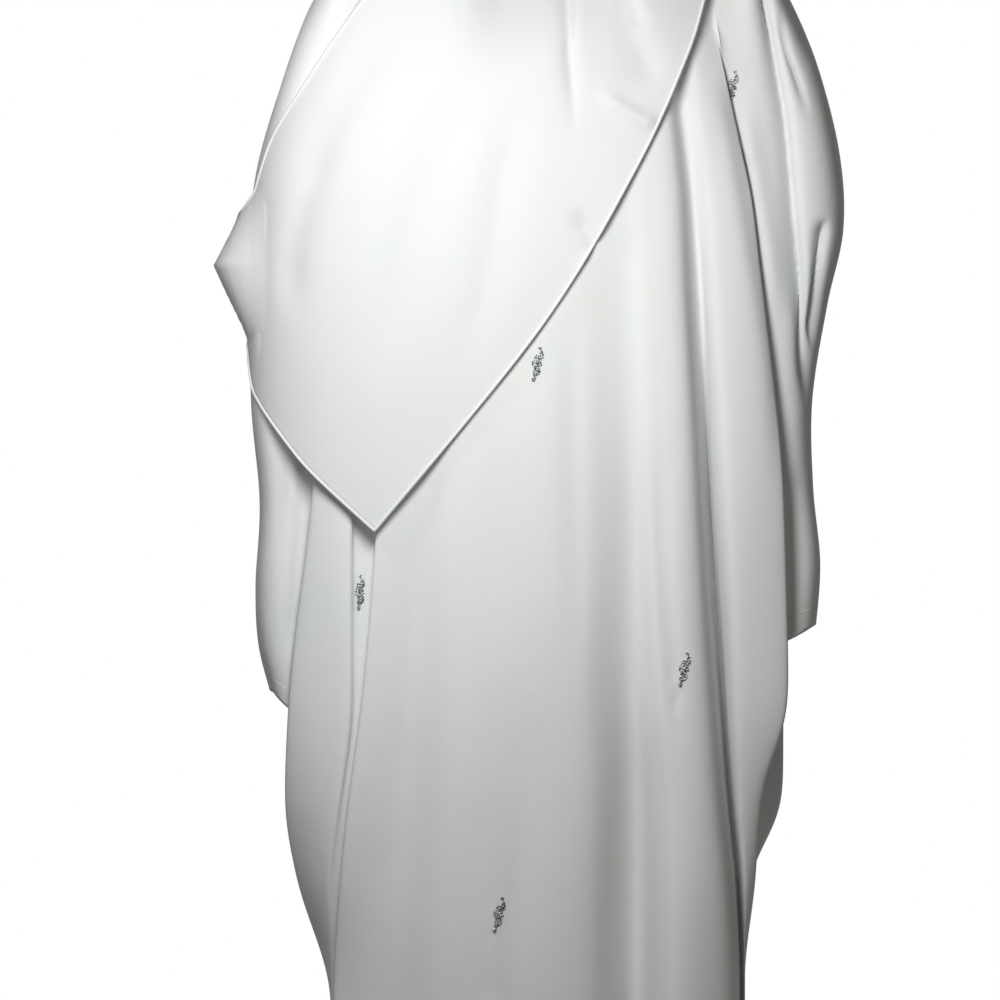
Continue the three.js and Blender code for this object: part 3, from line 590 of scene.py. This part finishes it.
# ---------- the sleeves ----------
def sleeve_grid(rings, side, columns, rows):
    """A sleeve's outer face from the armhole down to the cuff; its last column meets its first."""
    turns = np.linspace(0, 2, 2 * columns + 1)
    front = turns <= 1
    t = np.where(front, turns, 2 - turns)
    first = np.array([armhole(UNDERARM * a, side, f) for a, f in zip(t, front)])
    first[:, 0] += side * SEAM_GAP / 2
    knots = [first]
    c, s = np.cos(math.pi * t), np.sin(math.pi * t)
    c = np.sign(c) * np.abs(c) ** (2 / SLEEVE_ROUND)
    s = np.abs(s) ** (2 / SLEEVE_ROUND)
    for out_x, out_z, in_x, in_z, mid_z, front_y, back_y in rings:
        x = side * mix(in_x, out_x, (1 + c) / 2)
        y = np.where(front, front_y, back_y) * s
        z = mid_z + (out_z - in_z) / 2 * c + ((out_z + in_z) / 2 - mid_z) * c * c
        knots.append(np.stack([x, y, z], axis=-1))
    knots = np.array(knots)
    lengths = np.linalg.norm(np.diff(knots[2:], axis=1), axis=-1).mean(0)
    lengths = np.concatenate([[0], np.cumsum(lengths)])
    picks = np.interp(np.linspace(0, lengths[-1], columns), lengths, np.arange(len(lengths)))
    low = np.floor(picks).astype(int)
    part = (picks - low)[None, :, None]
    high = np.minimum(low + 1, len(lengths) - 1)
    knots = knots[:, low] * (1 - part) + knots[:, high] * part
    down = knots.transpose(1, 0, 2)
    grid = along(down, even_places(down, rows)).transpose(1, 0, 2)
    return grid[:, ::-1] if side > 0 else grid


def creased_sleeve(grid, side, creases, seed):
    """The sleeve with its creases pressed in, on its front and its back."""
    ring = grid[:, :-1]
    out = normals(ring, looped=True)
    x = ring[..., 0]
    front = smooth(*HUNG_FACES, -out[..., 1])
    behind = smooth(*HUNG_FACES, out[..., 1])
    pressed = crease_depth(x, ring[..., 2], creases) * front
    pressed += crease_depth(side * x, ring[..., 2], SLEEVE_BACK_CREASES) * behind
    pressed += unevenness(ring, *SLEEVE_UNEVEN, seed)
    rim = smooth(0, SLEEVE_RIM, np.arange(grid.shape[0]))[:, None]
    ring = ring - out * (pressed * rim)[..., None]
    return np.concatenate([ring, ring[:, :1]], axis=1)


# ---------- the draped panel ----------
def mantle(place, z):
    """The form under the draped panel; past its half width a place lies on its back."""
    heights, widths, fronts, backs = np.array(MANTLE, float).T
    width = through(heights, widths, z)
    behind = np.abs(place) > width
    x = np.where(behind, np.sign(place) * (2 * width - np.abs(place)), place)
    depth = np.where(behind, through(heights, backs, z), through(heights, fronts, z))
    share = np.clip(1 - np.abs(x / width) ** MANTLE_SQUARE, 0, 1) ** (1 / MANTLE_SQUARE)
    return np.stack([x, np.where(behind, 1, -1) * depth * share, z], axis=-1)


def chest(x, z):
    """Depth of the gown's chest without its folds."""
    down = np.clip(z / LEVELS[0], 0, 1)
    top = np.clip(x / mix(1, CHEST_SPREAD, down), -SHOULDER_X, SHOULDER_X)
    edge = np.array([top_edge(v, True) for v in top.ravel()]).reshape(top.shape + (2,))
    share = np.clip((edge[..., 1] - z) / (edge[..., 1] - LEVELS[0]), 0, 1)
    reach = np.clip(np.abs(x / CHEST_HALF), 0, CHEST_REACH)
    full = -CHEST_DEPTH * (1 - reach**CHEST_SQUARE) ** (1 / CHEST_SQUARE)
    return mix(edge[..., 0], full, swell(top, share))


def over_chest(x, z, out):
    """Points that stand out from the chest, square to it."""
    h = CHEST_STEP
    slope_x = (chest(x + h, z) - chest(x - h, z)) / (2 * h)
    slope_z = (chest(x, z + h) - chest(x, z - h)) / (2 * h)
    length = np.sqrt(slope_x**2 + 1 + slope_z**2)
    away = out / length
    return np.stack([x + away * slope_x, chest(x, z) - away, z + away * slope_z], axis=-1)


def drape_grid(columns, rows):
    """The draped panel's outer face, from the shoulders down to its free end."""
    xs = np.linspace(DRAPE_REAR[0][0], DRAPE_FRONT[0][0], DRAPE_TOP_STEPS)
    top = np.array([[x, top_edge(x, True)[1]] for x in xs])
    u = np.linspace(0, 1, columns)
    v = np.linspace(0, 1, rows)

    def spread(line, shares):
        line = np.array(line, float)
        places = even_places(line, DRAPE_EDGE_STEPS)
        return along(line, np.interp(shares, np.linspace(0, 1, DRAPE_EDGE_STEPS), places))

    a, b = spread(top, u)[None], spread(DRAPE_END, u)[None]
    c, d = spread(DRAPE_REAR, v)[:, None], spread(DRAPE_FRONT, v)[:, None]
    uu, vv = u[None, :, None], v[:, None, None]
    corners = mix(mix(top[0], top[-1], uu), mix(np.array(DRAPE_END[0]), np.array(DRAPE_END[-1]), uu), vv)
    flat = mix(a, b, vv) + mix(c, d, uu) - corners
    place, z = flat[..., 0], flat[..., 1]
    on = mantle(place, z)
    vv = vv[..., 0] * np.ones_like(place)
    rest = mix(*DRAPE_REST, smooth(0, DRAPE_RISES, vv))
    close = over_chest(place, z, SHEER_WALL + SEAM_GAP + rest)
    tip = 1 - np.clip(np.abs(z - DRAPE_END[0][1]) / DRAPE_TIP_REACH, 0, 1)
    on[..., 0] -= DRAPE_TIP_OUT * tip * smooth(*DRAPE_TIP_SIDE, place)
    return mix(close, on, smooth(0, DRAPE_LEAVES_CHEST, vv)[..., None])


def creased_drape(grid):
    """The draped panel with its creases pressed in, as far as its wall lets them."""
    out = normals(grid)
    pressed = crease_depth(grid[..., 0], grid[..., 2], DRAPE_CREASES) * smooth(*HUNG_FACES, -out[..., 1])
    pressed = np.minimum(pressed, DRAPE_CREASE_LIMIT) + unevenness(grid, *DRAPE_UNEVEN)
    rim = smooth(0, DRAPE_RIM, np.arange(grid.shape[0]))[:, None]
    return grid - out * (pressed * rim)[..., None]


# ---------- turning grids into pieces ----------
def mapped_grid(name, grid, looped=False):
    """A grid whose corners follow rows of points in millimetres; its UV map is in metres of cloth."""
    rows, columns = grid.shape[:2]
    bm = bmesh.new()
    bm.loops.layers.uv.new("cloth")
    bmesh.ops.create_grid(bm, x_segments=columns - 1, y_segments=rows - 1, size=1, calc_uvs=True)
    bm.verts.ensure_lookup_table()
    places = grid[::-1].reshape(-1, 3) * MM
    for vert, place in zip(bm.verts, places):
        vert.co = place
    width = np.linalg.norm(np.diff(grid, axis=1), axis=-1).sum(1).mean() * MM
    length = np.linalg.norm(np.diff(grid, axis=0), axis=-1).sum(0).mean() * MM
    layer = bm.loops.layers.uv["cloth"]
    for face in bm.faces:
        face.smooth = True
        for loop in face.loops:
            loop[layer].uv.x *= width
            loop[layer].uv.y *= length
    if looped:
        bmesh.ops.remove_doubles(bm, verts=bm.verts, dist=MERGE_DISTANCE)
    return new_piece(name, bm)


def new_piece(name, bm):
    mesh = bpy.data.meshes.new(name)
    bm.to_mesh(mesh)
    bm.free()
    obj = bpy.data.objects.new(name, mesh)
    bpy.context.scene.collection.objects.link(obj)
    return obj


def cloth_wall(obj, thickness):
    wall = obj.modifiers.new("cloth wall", "SOLIDIFY")
    wall.thickness = thickness
    wall.offset = -1
    wall.use_rim = True


def tube(name, path, radius):
    """A soft round cord of cloth along a path in millimetres, closed at both ends."""
    path = np.asarray(path, float)
    run = np.gradient(path, axis=0)
    run /= np.linalg.norm(run, axis=1, keepdims=True)
    side = np.cross(run, np.array(TUBE_LOOK))
    side /= np.linalg.norm(side, axis=1, keepdims=True)
    other = np.cross(side, run)
    turns = np.linspace(0, 2 * math.pi, TUBE_SIDES + 1)
    size = np.ones(len(path)) * radius
    size[[0, -1]] = radius * TUBE_END
    ring = np.cos(turns)[:, None, None] * side[None] + np.sin(turns)[:, None, None] * other[None]
    grid = path[None] + ring * size[None, :, None]
    return mapped_grid(name, grid.transpose(1, 0, 2), looped=True)


def finished(obj, material, slot, *nodes):
    obj.data.materials.append(material)
    if nodes:
        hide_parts(*nodes)
    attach(obj, "root")


def sewn_piece(name, grid, thickness, material, slot, part, looped=False):
    """A thin wall of cloth on a grid, in place of one node of the solids."""
    piece = mapped_grid(name, grid, looped)
    cloth_wall(piece, thickness)
    finished(piece, material, slot, part)


# ---------- shared effects ----------
def group_of(name, inputs, outputs):
    """A new shared effect, the sockets that it is given, and its end."""
    tree = bpy.data.node_groups.new(name, "ShaderNodeTree")
    kinds = {"v": "NodeSocketVector", "f": "NodeSocketFloat", "c": "NodeSocketColor"}
    for label, kind, default in inputs:
        socket = tree.interface.new_socket(label, in_out="INPUT", socket_type=kinds[kind])
        if default is not None:
            socket.default_value = default
    for label, kind in outputs:
        tree.interface.new_socket(label, in_out="OUTPUT", socket_type=kinds[kind])
    return tree, tree.nodes.new("NodeGroupInput").outputs, tree.nodes.new("NodeGroupOutput")


def wire(tree, made, links):
    """Links a node's sockets to others, or gives them plain values."""
    for socket, source in links.items():
        if isinstance(source, bpy.types.NodeSocket):
            tree.links.new(source, made.inputs[socket])
        else:
            made.inputs[socket].default_value = source


def node(tree, kind, links, **settings):
    """A new node with its settings, and with its sockets wired."""
    made = tree.nodes.new(kind)
    for name, value in settings.items():
        setattr(made, name, value)
    wire(tree, made, links)
    return made


def sums(tree, operation, *values):
    return node(tree, "ShaderNodeMath", dict(enumerate(values)), operation=operation).outputs[0]


def noise_at(tree, vector, scale, detail, rough=0.5):
    links = {"Vector": vector, "Scale": scale, "Detail": detail, "Roughness": rough}
    return node(tree, "ShaderNodeTexNoise", links).outputs["Fac"]


def remap(tree, value, low, high, to=(0, 1)):
    """The value carried from between low and high to between the two ends of to."""
    links = {"Value": value, "From Min": low, "From Max": high, "To Min": to[0], "To Max": to[1]}
    return node(tree, "ShaderNodeMapRange", links).outputs[0]


def blend(tree, share, a, b):
    """The colour a, with its share of the colour b."""
    return node(tree, "ShaderNodeMix", {"Factor": share, "A": a, "B": b}, data_type="RGBA").outputs["Result"]


def bump(tree, height, strength, distance, under=None):
    links = {"Height": height, "Strength": strength, "Distance": distance}
    if under is not None:
        links["Normal"] = under
    return node(tree, "ShaderNodeBump", links).outputs[0]


def woven_group():
    """Threads over and under each other, with the uneven twist of crepe."""
    tree, entry, end = group_of(
        "crepe weave",
        [("Vector", "v", None), ("Pitch", "f", 0.0006), ("Twist", "f", 0.5)],
        [("Height", "f"), ("Gap", "f")],
    )
    cut = node(tree, "ShaderNodeSeparateXYZ", {0: entry["Vector"]}).outputs
    turn = sums(tree, "DIVIDE", math.pi, entry["Pitch"])
    sway = sums(tree, "MULTIPLY", noise_at(tree, entry["Vector"], scale=160, detail=2), THREAD_SWAY)
    warp = sums(tree, "SINE", sums(tree, "MULTIPLY_ADD", cut[0], turn, sway))
    weft = sums(tree, "SINE", sums(tree, "MULTIPLY_ADD", cut[1], turn, sway))
    grain = noise_at(tree, entry["Vector"], scale=900, detail=3)
    twisted = sums(tree, "MULTIPLY", grain, entry["Twist"])
    height = sums(tree, "MULTIPLY_ADD", sums(tree, "MULTIPLY", warp, weft), THREAD_HEIGHT, twisted)
    gap = sums(tree, "MULTIPLY", sums(tree, "ABSOLUTE", warp), sums(tree, "ABSOLUTE", weft))
    wire(tree, end, {"Height": height, "Gap": gap})
    return tree


def toned_group():
    """Slow drifts between a cool and a warm white, and the fine flecks of the yarn."""
    tints = [(tint, "c", None) for tint in ("Cloth", "Cool", "Warm")]
    tree, entry, end = group_of(
        "cloth tone",
        [("Vector", "v", None), *tints, ("Fleck", "f", 0.04)],
        [("Color", "c")],
    )
    drift = noise_at(tree, entry["Vector"], scale=4.2, detail=3, rough=0.55)
    cooled = blend(tree, remap(tree, drift, *COOL_FROM), entry["Cloth"], entry["Cool"])
    warmed = blend(tree, remap(tree, drift, *WARM_FROM), cooled, entry["Warm"])
    yarn = noise_at(tree, entry["Vector"], scale=420, detail=2)
    dark = sums(tree, "MULTIPLY", yarn, entry["Fleck"])
    wire(tree, end, {"Color": blend(tree, dark, warmed, FLECK_COLOUR)})
    return tree


def hemmed_group():
    """A turned hem along the edge where the cloth's V is nought: its ridge and its row of stitches."""
    tree, entry, end = group_of(
        "turned hem",
        [("Vector", "v", None), ("Depth", "f", 0.022), ("Stitch", "f", STITCH_LENGTH)],
        [("Stitch", "f"), ("Height", "f")],
    )
    cut = node(tree, "ShaderNodeSeparateXYZ", {0: entry["Vector"]}).outputs
    off = sums(tree, "SUBTRACT", cut[1], entry["Depth"])
    line = remap(tree, sums(tree, "ABSOLUTE", off), *STITCH_HALF)
    beat = sums(tree, "FRACT", sums(tree, "DIVIDE", cut[0], entry["Stitch"]))
    stitch = sums(tree, "MULTIPLY", line, sums(tree, "LESS_THAN", beat, STITCH_SHARE))
    sunk = sums(tree, "MULTIPLY", line, -STITCH_SUNK)
    raised = sums(tree, "MULTIPLY_ADD", stitch, STITCH_RAISED, sunk)
    fold = remap(tree, off, *HEM_STEP, to=(1, 0))
    wire(tree, end, {"Stitch": stitch, "Height": sums(tree, "ADD", fold, raised)})
    return tree


EFFECTS = {"crepe weave": woven_group, "cloth tone": toned_group, "turned hem": hemmed_group}


def effect(tree, name, links):
    """The outputs of a shared effect, which is built the first time that it is used."""
    shared = bpy.data.node_groups.get(name) or EFFECTS[name]()
    return node(tree, "ShaderNodeGroup", links, node_tree=shared).outputs


# ---------- materials ----------
def kept(build):
    """Builds a material the first time; a later call with its name is given the same one."""

    def ask(name, *looks):
        return bpy.data.materials.get(name) or build(name, *looks)

    return ask


def blank_material(name):
    material = bpy.data.materials.new(name)
    material.use_nodes = True
    return material, material.node_tree, material.node_tree.nodes["Principled BSDF"]


def rgba(colour):
    return (*colour, 1.0)


def object_place(tree):
    return node(tree, "ShaderNodeTexCoord", {}).outputs["Object"]


def toned_weave(tree, base, cool, warm, fleck, pitch, twist):
    """The tone and the weave of a cloth, and its UV map."""
    cloth = node(tree, "ShaderNodeUVMap", {}, uv_map="cloth").outputs[0]
    tints = {"Cloth": rgba(base), "Cool": rgba(base * cool), "Warm": rgba(base * warm)}
    tone = effect(tree, "cloth tone", {"Vector": object_place(tree), **tints, "Fleck": fleck})["Color"]
    return tone, effect(tree, "crepe weave", {"Vector": cloth, "Pitch": pitch, "Twist": twist}), cloth


@kept
def crepe_material(name, colour, pitch, hem):
    """Soft matt crepe with a stitched hem along the edge where V is nought."""
    material, tree, shader = blank_material(name)
    base = np.array(colour)
    tone, weave, cloth = toned_weave(tree, base, (0.965, 1.0, 0.985), (1.0, 0.972, 0.992), 0.05, pitch, 0.9)
    woven = blend(tree, remap(tree, weave["Gap"], 0, 1, to=(0, 0.05)), tone, rgba(base * 0.82))
    threads = bump(tree, weave["Height"], strength=0.22, distance=0.00025)
    puckers = noise_at(tree, cloth, scale=46, detail=3)
    puckered = bump(tree, puckers, strength=0.12, distance=0.003, under=threads)
    edge = effect(tree, "turned hem", {"Vector": cloth, "Depth": hem, "Stitch": STITCH_LENGTH})
    looks = {
        "Base Color": blend(tree, edge["Stitch"], woven, rgba(base * 0.9)),
        "Roughness": remap(tree, weave["Gap"], 0, 1, to=(0.78, 0.92)),
        "Normal": bump(tree, edge["Height"], strength=0.6, distance=0.0008, under=puckered),
        "Sheen Weight": 0.12,
        "Sheen Roughness": 0.45,
        "Specular IOR Level": 0.22,
    }
    wire(tree, shader, looks)
    return material


@kept
def sheer_material(name, colour, opacity=None):
    """Semi-sheer voile; what lies under it shows faintly. With no opacity it is rolled, and dense."""
    material, tree, shader = blank_material(name)
    tints = ((0.97, 1.0, 0.99), (1.0, 0.98, 0.99))
    tone, weave, cloth = toned_weave(tree, np.array(colour), *tints, 0.03, 0.0007, 0.5)
    looks = {"Base Color": tone, "Roughness": 0.74, "Sheen Weight": 0.15, "Specular IOR Level": 0.25}
    looks["Normal"] = bump(tree, weave["Height"], strength=0.15, distance=0.0002)
    if opacity is None:
        links = {"Vector": cloth, "Scale": 190.0, "Distortion": 2.0, "Detail": 2.0}
        twist = node(tree, "ShaderNodeTexWave", links, bands_direction="DIAGONAL").outputs["Fac"]
        looks["Normal"] = bump(tree, twist, strength=0.35, distance=0.0006, under=looks["Normal"])
    else:
        looks["Alpha"] = remap(tree, weave["Gap"], 0, 1, to=(opacity + 0.05, opacity - 0.1))
    wire(tree, shader, looks)
    return material


@kept
def bead_material(name, colour):
    """Silver-lined glass beads of dark glass, with painted glints: a noise paints patches of them near white,
    standing in for where they catch the light.
    """
    material, tree, shader = blank_material(name)
    place = object_place(tree)
    base = np.array(colour)
    # A noise mask for the lining and the painted glints: where it is high the beads are painted near white as
    # highlights; it also sets their roughness.
    lining_and_glint_mask = noise_at(tree, place, scale=460, detail=1)
    facets = node(tree, "ShaderNodeTexVoronoi", {"Vector": place, "Scale": 900.0}).outputs["Distance"]
    painted_glint_colour = rgba(np.minimum(base * 1.9, 0.96))
    looks = {
        # Painted highlights: the beads' colour runs from their dark glass to a painted near-white glint.
        "Base Color": blend(tree, remap(tree, lining_and_glint_mask, 0.46, 0.6), rgba(base * 0.3), painted_glint_colour),
        "Roughness": remap(tree, lining_and_glint_mask, 0, 1, to=(0.08, 0.26)),
        "Normal": bump(tree, facets, strength=0.3, distance=0.0004),
        "Metallic": 0.3,
        "Coat Weight": 0.6,
    }
    wire(tree, shader, looks)
    return material


@kept
def floor_material(name, colour):
    """A matt floor with faint clouds."""
    material, tree, shader = blank_material(name)
    clouds = noise_at(tree, object_place(tree), scale=3, detail=4)
    cloudy = blend(tree, clouds, rgba(np.array(colour) * 0.97), rgba(colour))
    wire(tree, shader, {"Base Color": cloudy, "Roughness": 0.9})
    return material


# ---------- what a user may change ----------
def length(name, about, default, low, high):
    """A length that a user may change."""
    return FloatProperty(name=name, description=about, default=default, min=low, max=high, unit="LENGTH")


def colour(name, about, default):
    """A colour that a user may change."""
    return FloatVectorProperty(name=name, description=about, default=default, min=0, max=1, subtype="COLOR")


def count(name, about, default, low, high):
    """A number of points that a user may change."""
    return IntProperty(name=name, description=about, default=default, min=low, max=high)


class AbayaSizes(bpy.types.PropertyGroup):
    """Sizes of the cloth, its hems and its beads."""

    cloth: length("Cloth", "Thickness of the gown's crepe", 0.0008, 0.0003, 0.002)
    sheer: length("Sheer cloth", "Thickness of the draped panel", 0.0004, 0.0002, 0.002)
    roll: length("Rolled hem", "Radius of the draped panel's rolled hem", 0.0017, 0.0008, 0.003)
    hem: length("Turned hem", "Depth of the gown's turned hems", 0.022, 0.005, 0.06)
    thread: length("Thread pitch", "Distance between threads of the crepe", 0.0007, 0.0003, 0.003)
    bead: length("Bead", "Radius of a small bead", 0.00118, 0.0004, 0.003)
    columns: count("Columns", "Points across the front panel", 284, 90, 300)
    rows: count("Rows", "Points down each body panel", 160, 40, 200)


class AbayaColours(bpy.types.PropertyGroup):
    """Colours of the cloth, beads and floor."""

    gown: colour("Gown", "Colour of the gown's crepe", (0.82, 0.83, 0.82))
    sheer: colour("Sheer cloth", "Colour of the draped panel", (0.86, 0.87, 0.865))
    beads: colour("Beads", "Colour of the beads", (0.4, 0.43, 0.42))
    floor: colour("Floor", "Colour of the studio floor", (0.42, 0.42, 0.41))
    opacity: FloatProperty(
        name="Opacity",
        description="How much the draped panel hides what is under it",
        default=0.83,
        min=0,
        max=1,
        subtype="FACTOR",
    )


# ---------- the pieces ----------
class Step:
    """One step of the work, which hands its sizes and colours on to lay."""

    def execute(self, context):
        self.lay(context.scene.abaya_sizes, context.scene.abaya_colours)
        return {"FINISHED"}

    def gown_piece(self, name, grid, sizes, colours, part, looped=False):
        crepe = crepe_material("white crepe", colours.gown, sizes.thread, sizes.hem)
        sewn_piece(name, grid, sizes.cloth, crepe, "gown_cloth", part, looped)


class ABAYA_OT_front(Step, bpy.types.Operator):
    """Hangs the front panel in its folds."""

    bl_idname = "abaya.front"
    bl_label = "Front panel"

    def lay(self, sizes, colours):
        grid = body_grid(FRONT_FOLDS, True, sizes.columns, sizes.rows)
        grid = creased_body(grid, FRONT_CREASES, FRONT_ROLLS, -1, 1)
        self.gown_piece("abaya_front", grid, sizes, colours, "front_panel")


class ABAYA_OT_back(Step, bpy.types.Operator):
    """Hangs the back panel in its folds."""

    bl_idname = "abaya.back"
    bl_label = "Back panel"

    def lay(self, sizes, colours):
        grid = body_grid(BACK_FOLDS, False, sizes.columns - FEWER_AT_BACK, sizes.rows)
        grid = creased_body(grid, BACK_CREASES, [], 1, 2)
        self.gown_piece("abaya_back", grid, sizes, colours, "back_panel")


class ABAYA_OT_sleeves(Step, bpy.types.Operator):
    """Sets in the two wide sleeves."""

    bl_idname = "abaya.sleeves"
    bl_label = "Sleeves"

    def lay(self, sizes, colours):
        sleeves = [
            ("left", 1, SLEEVE_LEFT, LEFT_SLEEVE_CREASES, 4),
            ("right", -1, SLEEVE_RIGHT, RIGHT_SLEEVE_CREASES, 2),
        ]
        for name, side, rings, creases, seed in sleeves:
            grid = creased_sleeve(sleeve_grid(rings, side, *SLEEVE_GRID), side, creases, seed)
            self.gown_piece(f"abaya_sleeve_{name}", grid, sizes, colours, f"sleeve_{name}", looped=True)


class ABAYA_OT_drape(Step, bpy.types.Operator):
    """Drapes the semi-sheer panel and rolls its free edges."""

    bl_idname = "abaya.drape"
    bl_label = "Draped panel"

    def lay(self, sizes, colours):
        grid = creased_drape(drape_grid(*DRAPE_GRID))
        voile = sheer_material("semi-sheer voile", colours.sheer, colours.opacity)
        sewn_piece("abaya_drape", grid, sizes.sheer, voile, "sheer_cloth", "overlay_panel")
        inner = grid - normals(grid) * sizes.sheer / MM / 2
        edge = np.concatenate([inner[3:, 0], inner[-1, 1:-1], inner[:3:-1, -1]])
        roll = tube("abaya_rolled_hem", edge, sizes.roll / MM)
        finished(roll, sheer_material("rolled voile", colours.sheer), "sheer_cloth")


class ABAYA_OT_binding(Step, bpy.types.Operator):
    """Binds the neckline."""

    bl_idname = "abaya.binding"
    bl_label = "Neck binding"

    def lay(self, sizes, colours):
        turn = np.linspace(0, 2 * math.pi, BINDING_STEPS + 1)
        s = np.sin(turn)
        x = NECK_X * np.cos(turn)
        y = np.where(s > 0, NECK_BACK_Y, NECK_FRONT_Y) * s
        z = NECK_SLOPE * s - NECK_DIP * s * s
        rows = []
        for inward, up in BINDING_PROFILE:
            share = 1 + inward / np.hypot(x, y)
            rows.append(np.stack([x * share, y * share, z + up], axis=-1))
        piece = mapped_grid("abaya_neck_binding", np.array(rows), looped=True)
        crepe = crepe_material("binding crepe", colours.gown, sizes.thread, BINDING_HEM)
        finished(piece, crepe, "binding_cloth", "neck_binding")


class ABAYA_OT_sprigs(Step, bpy.types.Operator):
    """Sews leaf sprigs of glass beads over the gown."""

    bl_idname = "abaya.sprigs"
    bl_label = "Bead sprigs"

    def lay(self, sizes, colours):
        for part, sprigs in SPRIGS.items():
            owner = "abaya_" + part.removesuffix("_panel")
            mesh = bpy.data.objects[owner].data
            corners = [vert.co for vert in mesh.vertices]
            tree = BVHTree.FromPolygons(corners, [tuple(face.vertices) for face in mesh.polygons])
            sewn = bmesh.new()
            for facing, across, height, lean in sprigs:
                look = Vector(SPRIG_LOOKS[facing])
                start = Vector((across, 0, height)) if look.x == 0 else Vector((0, across, height))
                hit, out, _, _ = tree.ray_cast(start * MM - look, look)
                if hit is None:
                    raise RuntimeError(f"a sprig at {across}, {height} misses {owner}")
                up = (Vector((0, 0, 1)) - out * out.z).normalized()
                side = up.cross(out)
                c, s = math.cos(math.radians(lean)), math.sin(math.radians(lean))
                up, side = up * c + side * s, side * c - up * s
                sprig = bmesh.new()
                for a, b, size in SPRIG_BEADS:
                    spot, face_out, _, _ = tree.find_nearest(hit + side * a * MM + up * b * MM)
                    radius = sizes.bead * size
                    turned = up.rotation_difference(face_out).to_matrix().to_4x4()
                    place = Matrix.Translation(spot + face_out * radius * BEAD_STANDS) @ turned
                    bmesh.ops.create_uvsphere(sprig, u_segments=8, v_segments=5, radius=radius, matrix=place)
                one = bpy.data.meshes.new("sprig")
                sprig.to_mesh(one)
                sprig.free()
                sewn.from_mesh(one)
                bpy.data.meshes.remove(one)
            for face in sewn.faces:
                face.smooth = True
            beads = new_piece(f"abaya_sprigs_{part}", sewn)
            finished(beads, bead_material("silver-lined beads", colours.beads), "gown_cloth")


# ---------- stage ----------
def area_light(name, place, aim, size, power, tint=(1, 1, 1)):
    data = bpy.data.lights.new(name, "AREA")
    data.shape = "DISK"
    data.size = size
    data.energy = power
    data.color = tint
    light = bpy.data.objects.new(name, data)
    light.location = place
    light.rotation_euler = (Vector(aim) - Vector(place)).to_track_quat("-Z", "Y").to_euler()
    light.visible_camera = False
    bpy.context.scene.collection.objects.link(light)


class ABAYA_OT_stage(bpy.types.Operator):
    """Sets up the pale floor, the soft studio light and the camera."""

    bl_idname = "abaya.stage"
    bl_label = "Stage"

    def execute(self, context):
        scene = context.scene
        scene.view_settings.view_transform = "Standard"
        bm = bmesh.new()
        bmesh.ops.create_circle(bm, cap_ends=True, radius=FLOOR_RADIUS, segments=96)
        bmesh.ops.translate(bm, verts=bm.verts, vec=(0, 0, FLOOR_HEIGHT))
        floor = new_piece("studio_floor", bm)
        floor.data.materials.append(floor_material("studio floor", scene.abaya_colours.floor))

        world = bpy.data.worlds.new("studio")
        scene.world = world
        world.use_nodes = True
        tree = world.node_tree
        tree.nodes.clear()
        seen = node(tree, "ShaderNodeLightPath", {}).outputs["Is Camera Ray"]
        glow = node(tree, "ShaderNodeBackground", GLOW).outputs[0]
        plain = node(tree, "ShaderNodeBackground", PLAIN).outputs[0]
        both = node(tree, "ShaderNodeMixShader", {0: seen, 1: glow, 2: plain})
        node(tree, "ShaderNodeOutputWorld", {"Surface": both.outputs[0]})

        for light in LIGHTS:
            area_light(*light)

        camera = bpy.data.objects.new("camera", bpy.data.cameras.new("camera"))
        camera.data.sensor_width = 36
        camera.data.lens = LENS
        camera.location = CAMERA_PLACE
        camera.rotation_euler = (math.radians(90), 0, 0)
        scene.collection.objects.link(camera)
        scene.camera = camera
        return {"FINISHED"}


class ABAYA_PT_panel(bpy.types.Panel):
    """Lists the steps of the abaya in order."""

    bl_idname = "ABAYA_PT_panel"
    bl_label = "Abaya"
    bl_space_type = "VIEW_3D"
    bl_region_type = "UI"
    bl_category = "Abaya"

    def draw(self, context):
        layout = self.layout
        for group in (context.scene.abaya_sizes, context.scene.abaya_colours):
            for name in group.__annotations__:
                layout.prop(group, name)
        for step in STEPS:
            layout.operator(step.bl_idname)


STEPS = [
    ABAYA_OT_front, ABAYA_OT_back, ABAYA_OT_sleeves, ABAYA_OT_drape,
    ABAYA_OT_binding, ABAYA_OT_sprigs, ABAYA_OT_stage,
]
CLASSES = [AbayaSizes, AbayaColours, *STEPS, ABAYA_PT_panel]


def register():
    for cls in CLASSES:
        bpy.utils.register_class(cls)
    bpy.types.Scene.abaya_sizes = PointerProperty(type=AbayaSizes)
    bpy.types.Scene.abaya_colours = PointerProperty(type=AbayaColours)


def unregister():
    del bpy.types.Scene.abaya_colours
    del bpy.types.Scene.abaya_sizes
    for cls in reversed(CLASSES):
        bpy.utils.unregister_class(cls)


def main():
    register()
    bpy.ops.abaya.front()
    bpy.ops.abaya.back()
    bpy.ops.abaya.sleeves()
    bpy.ops.abaya.drape()
    bpy.ops.abaya.binding()
    bpy.ops.abaya.sprigs()
    bpy.ops.abaya.stage()


if __name__ == "__main__":
    main()
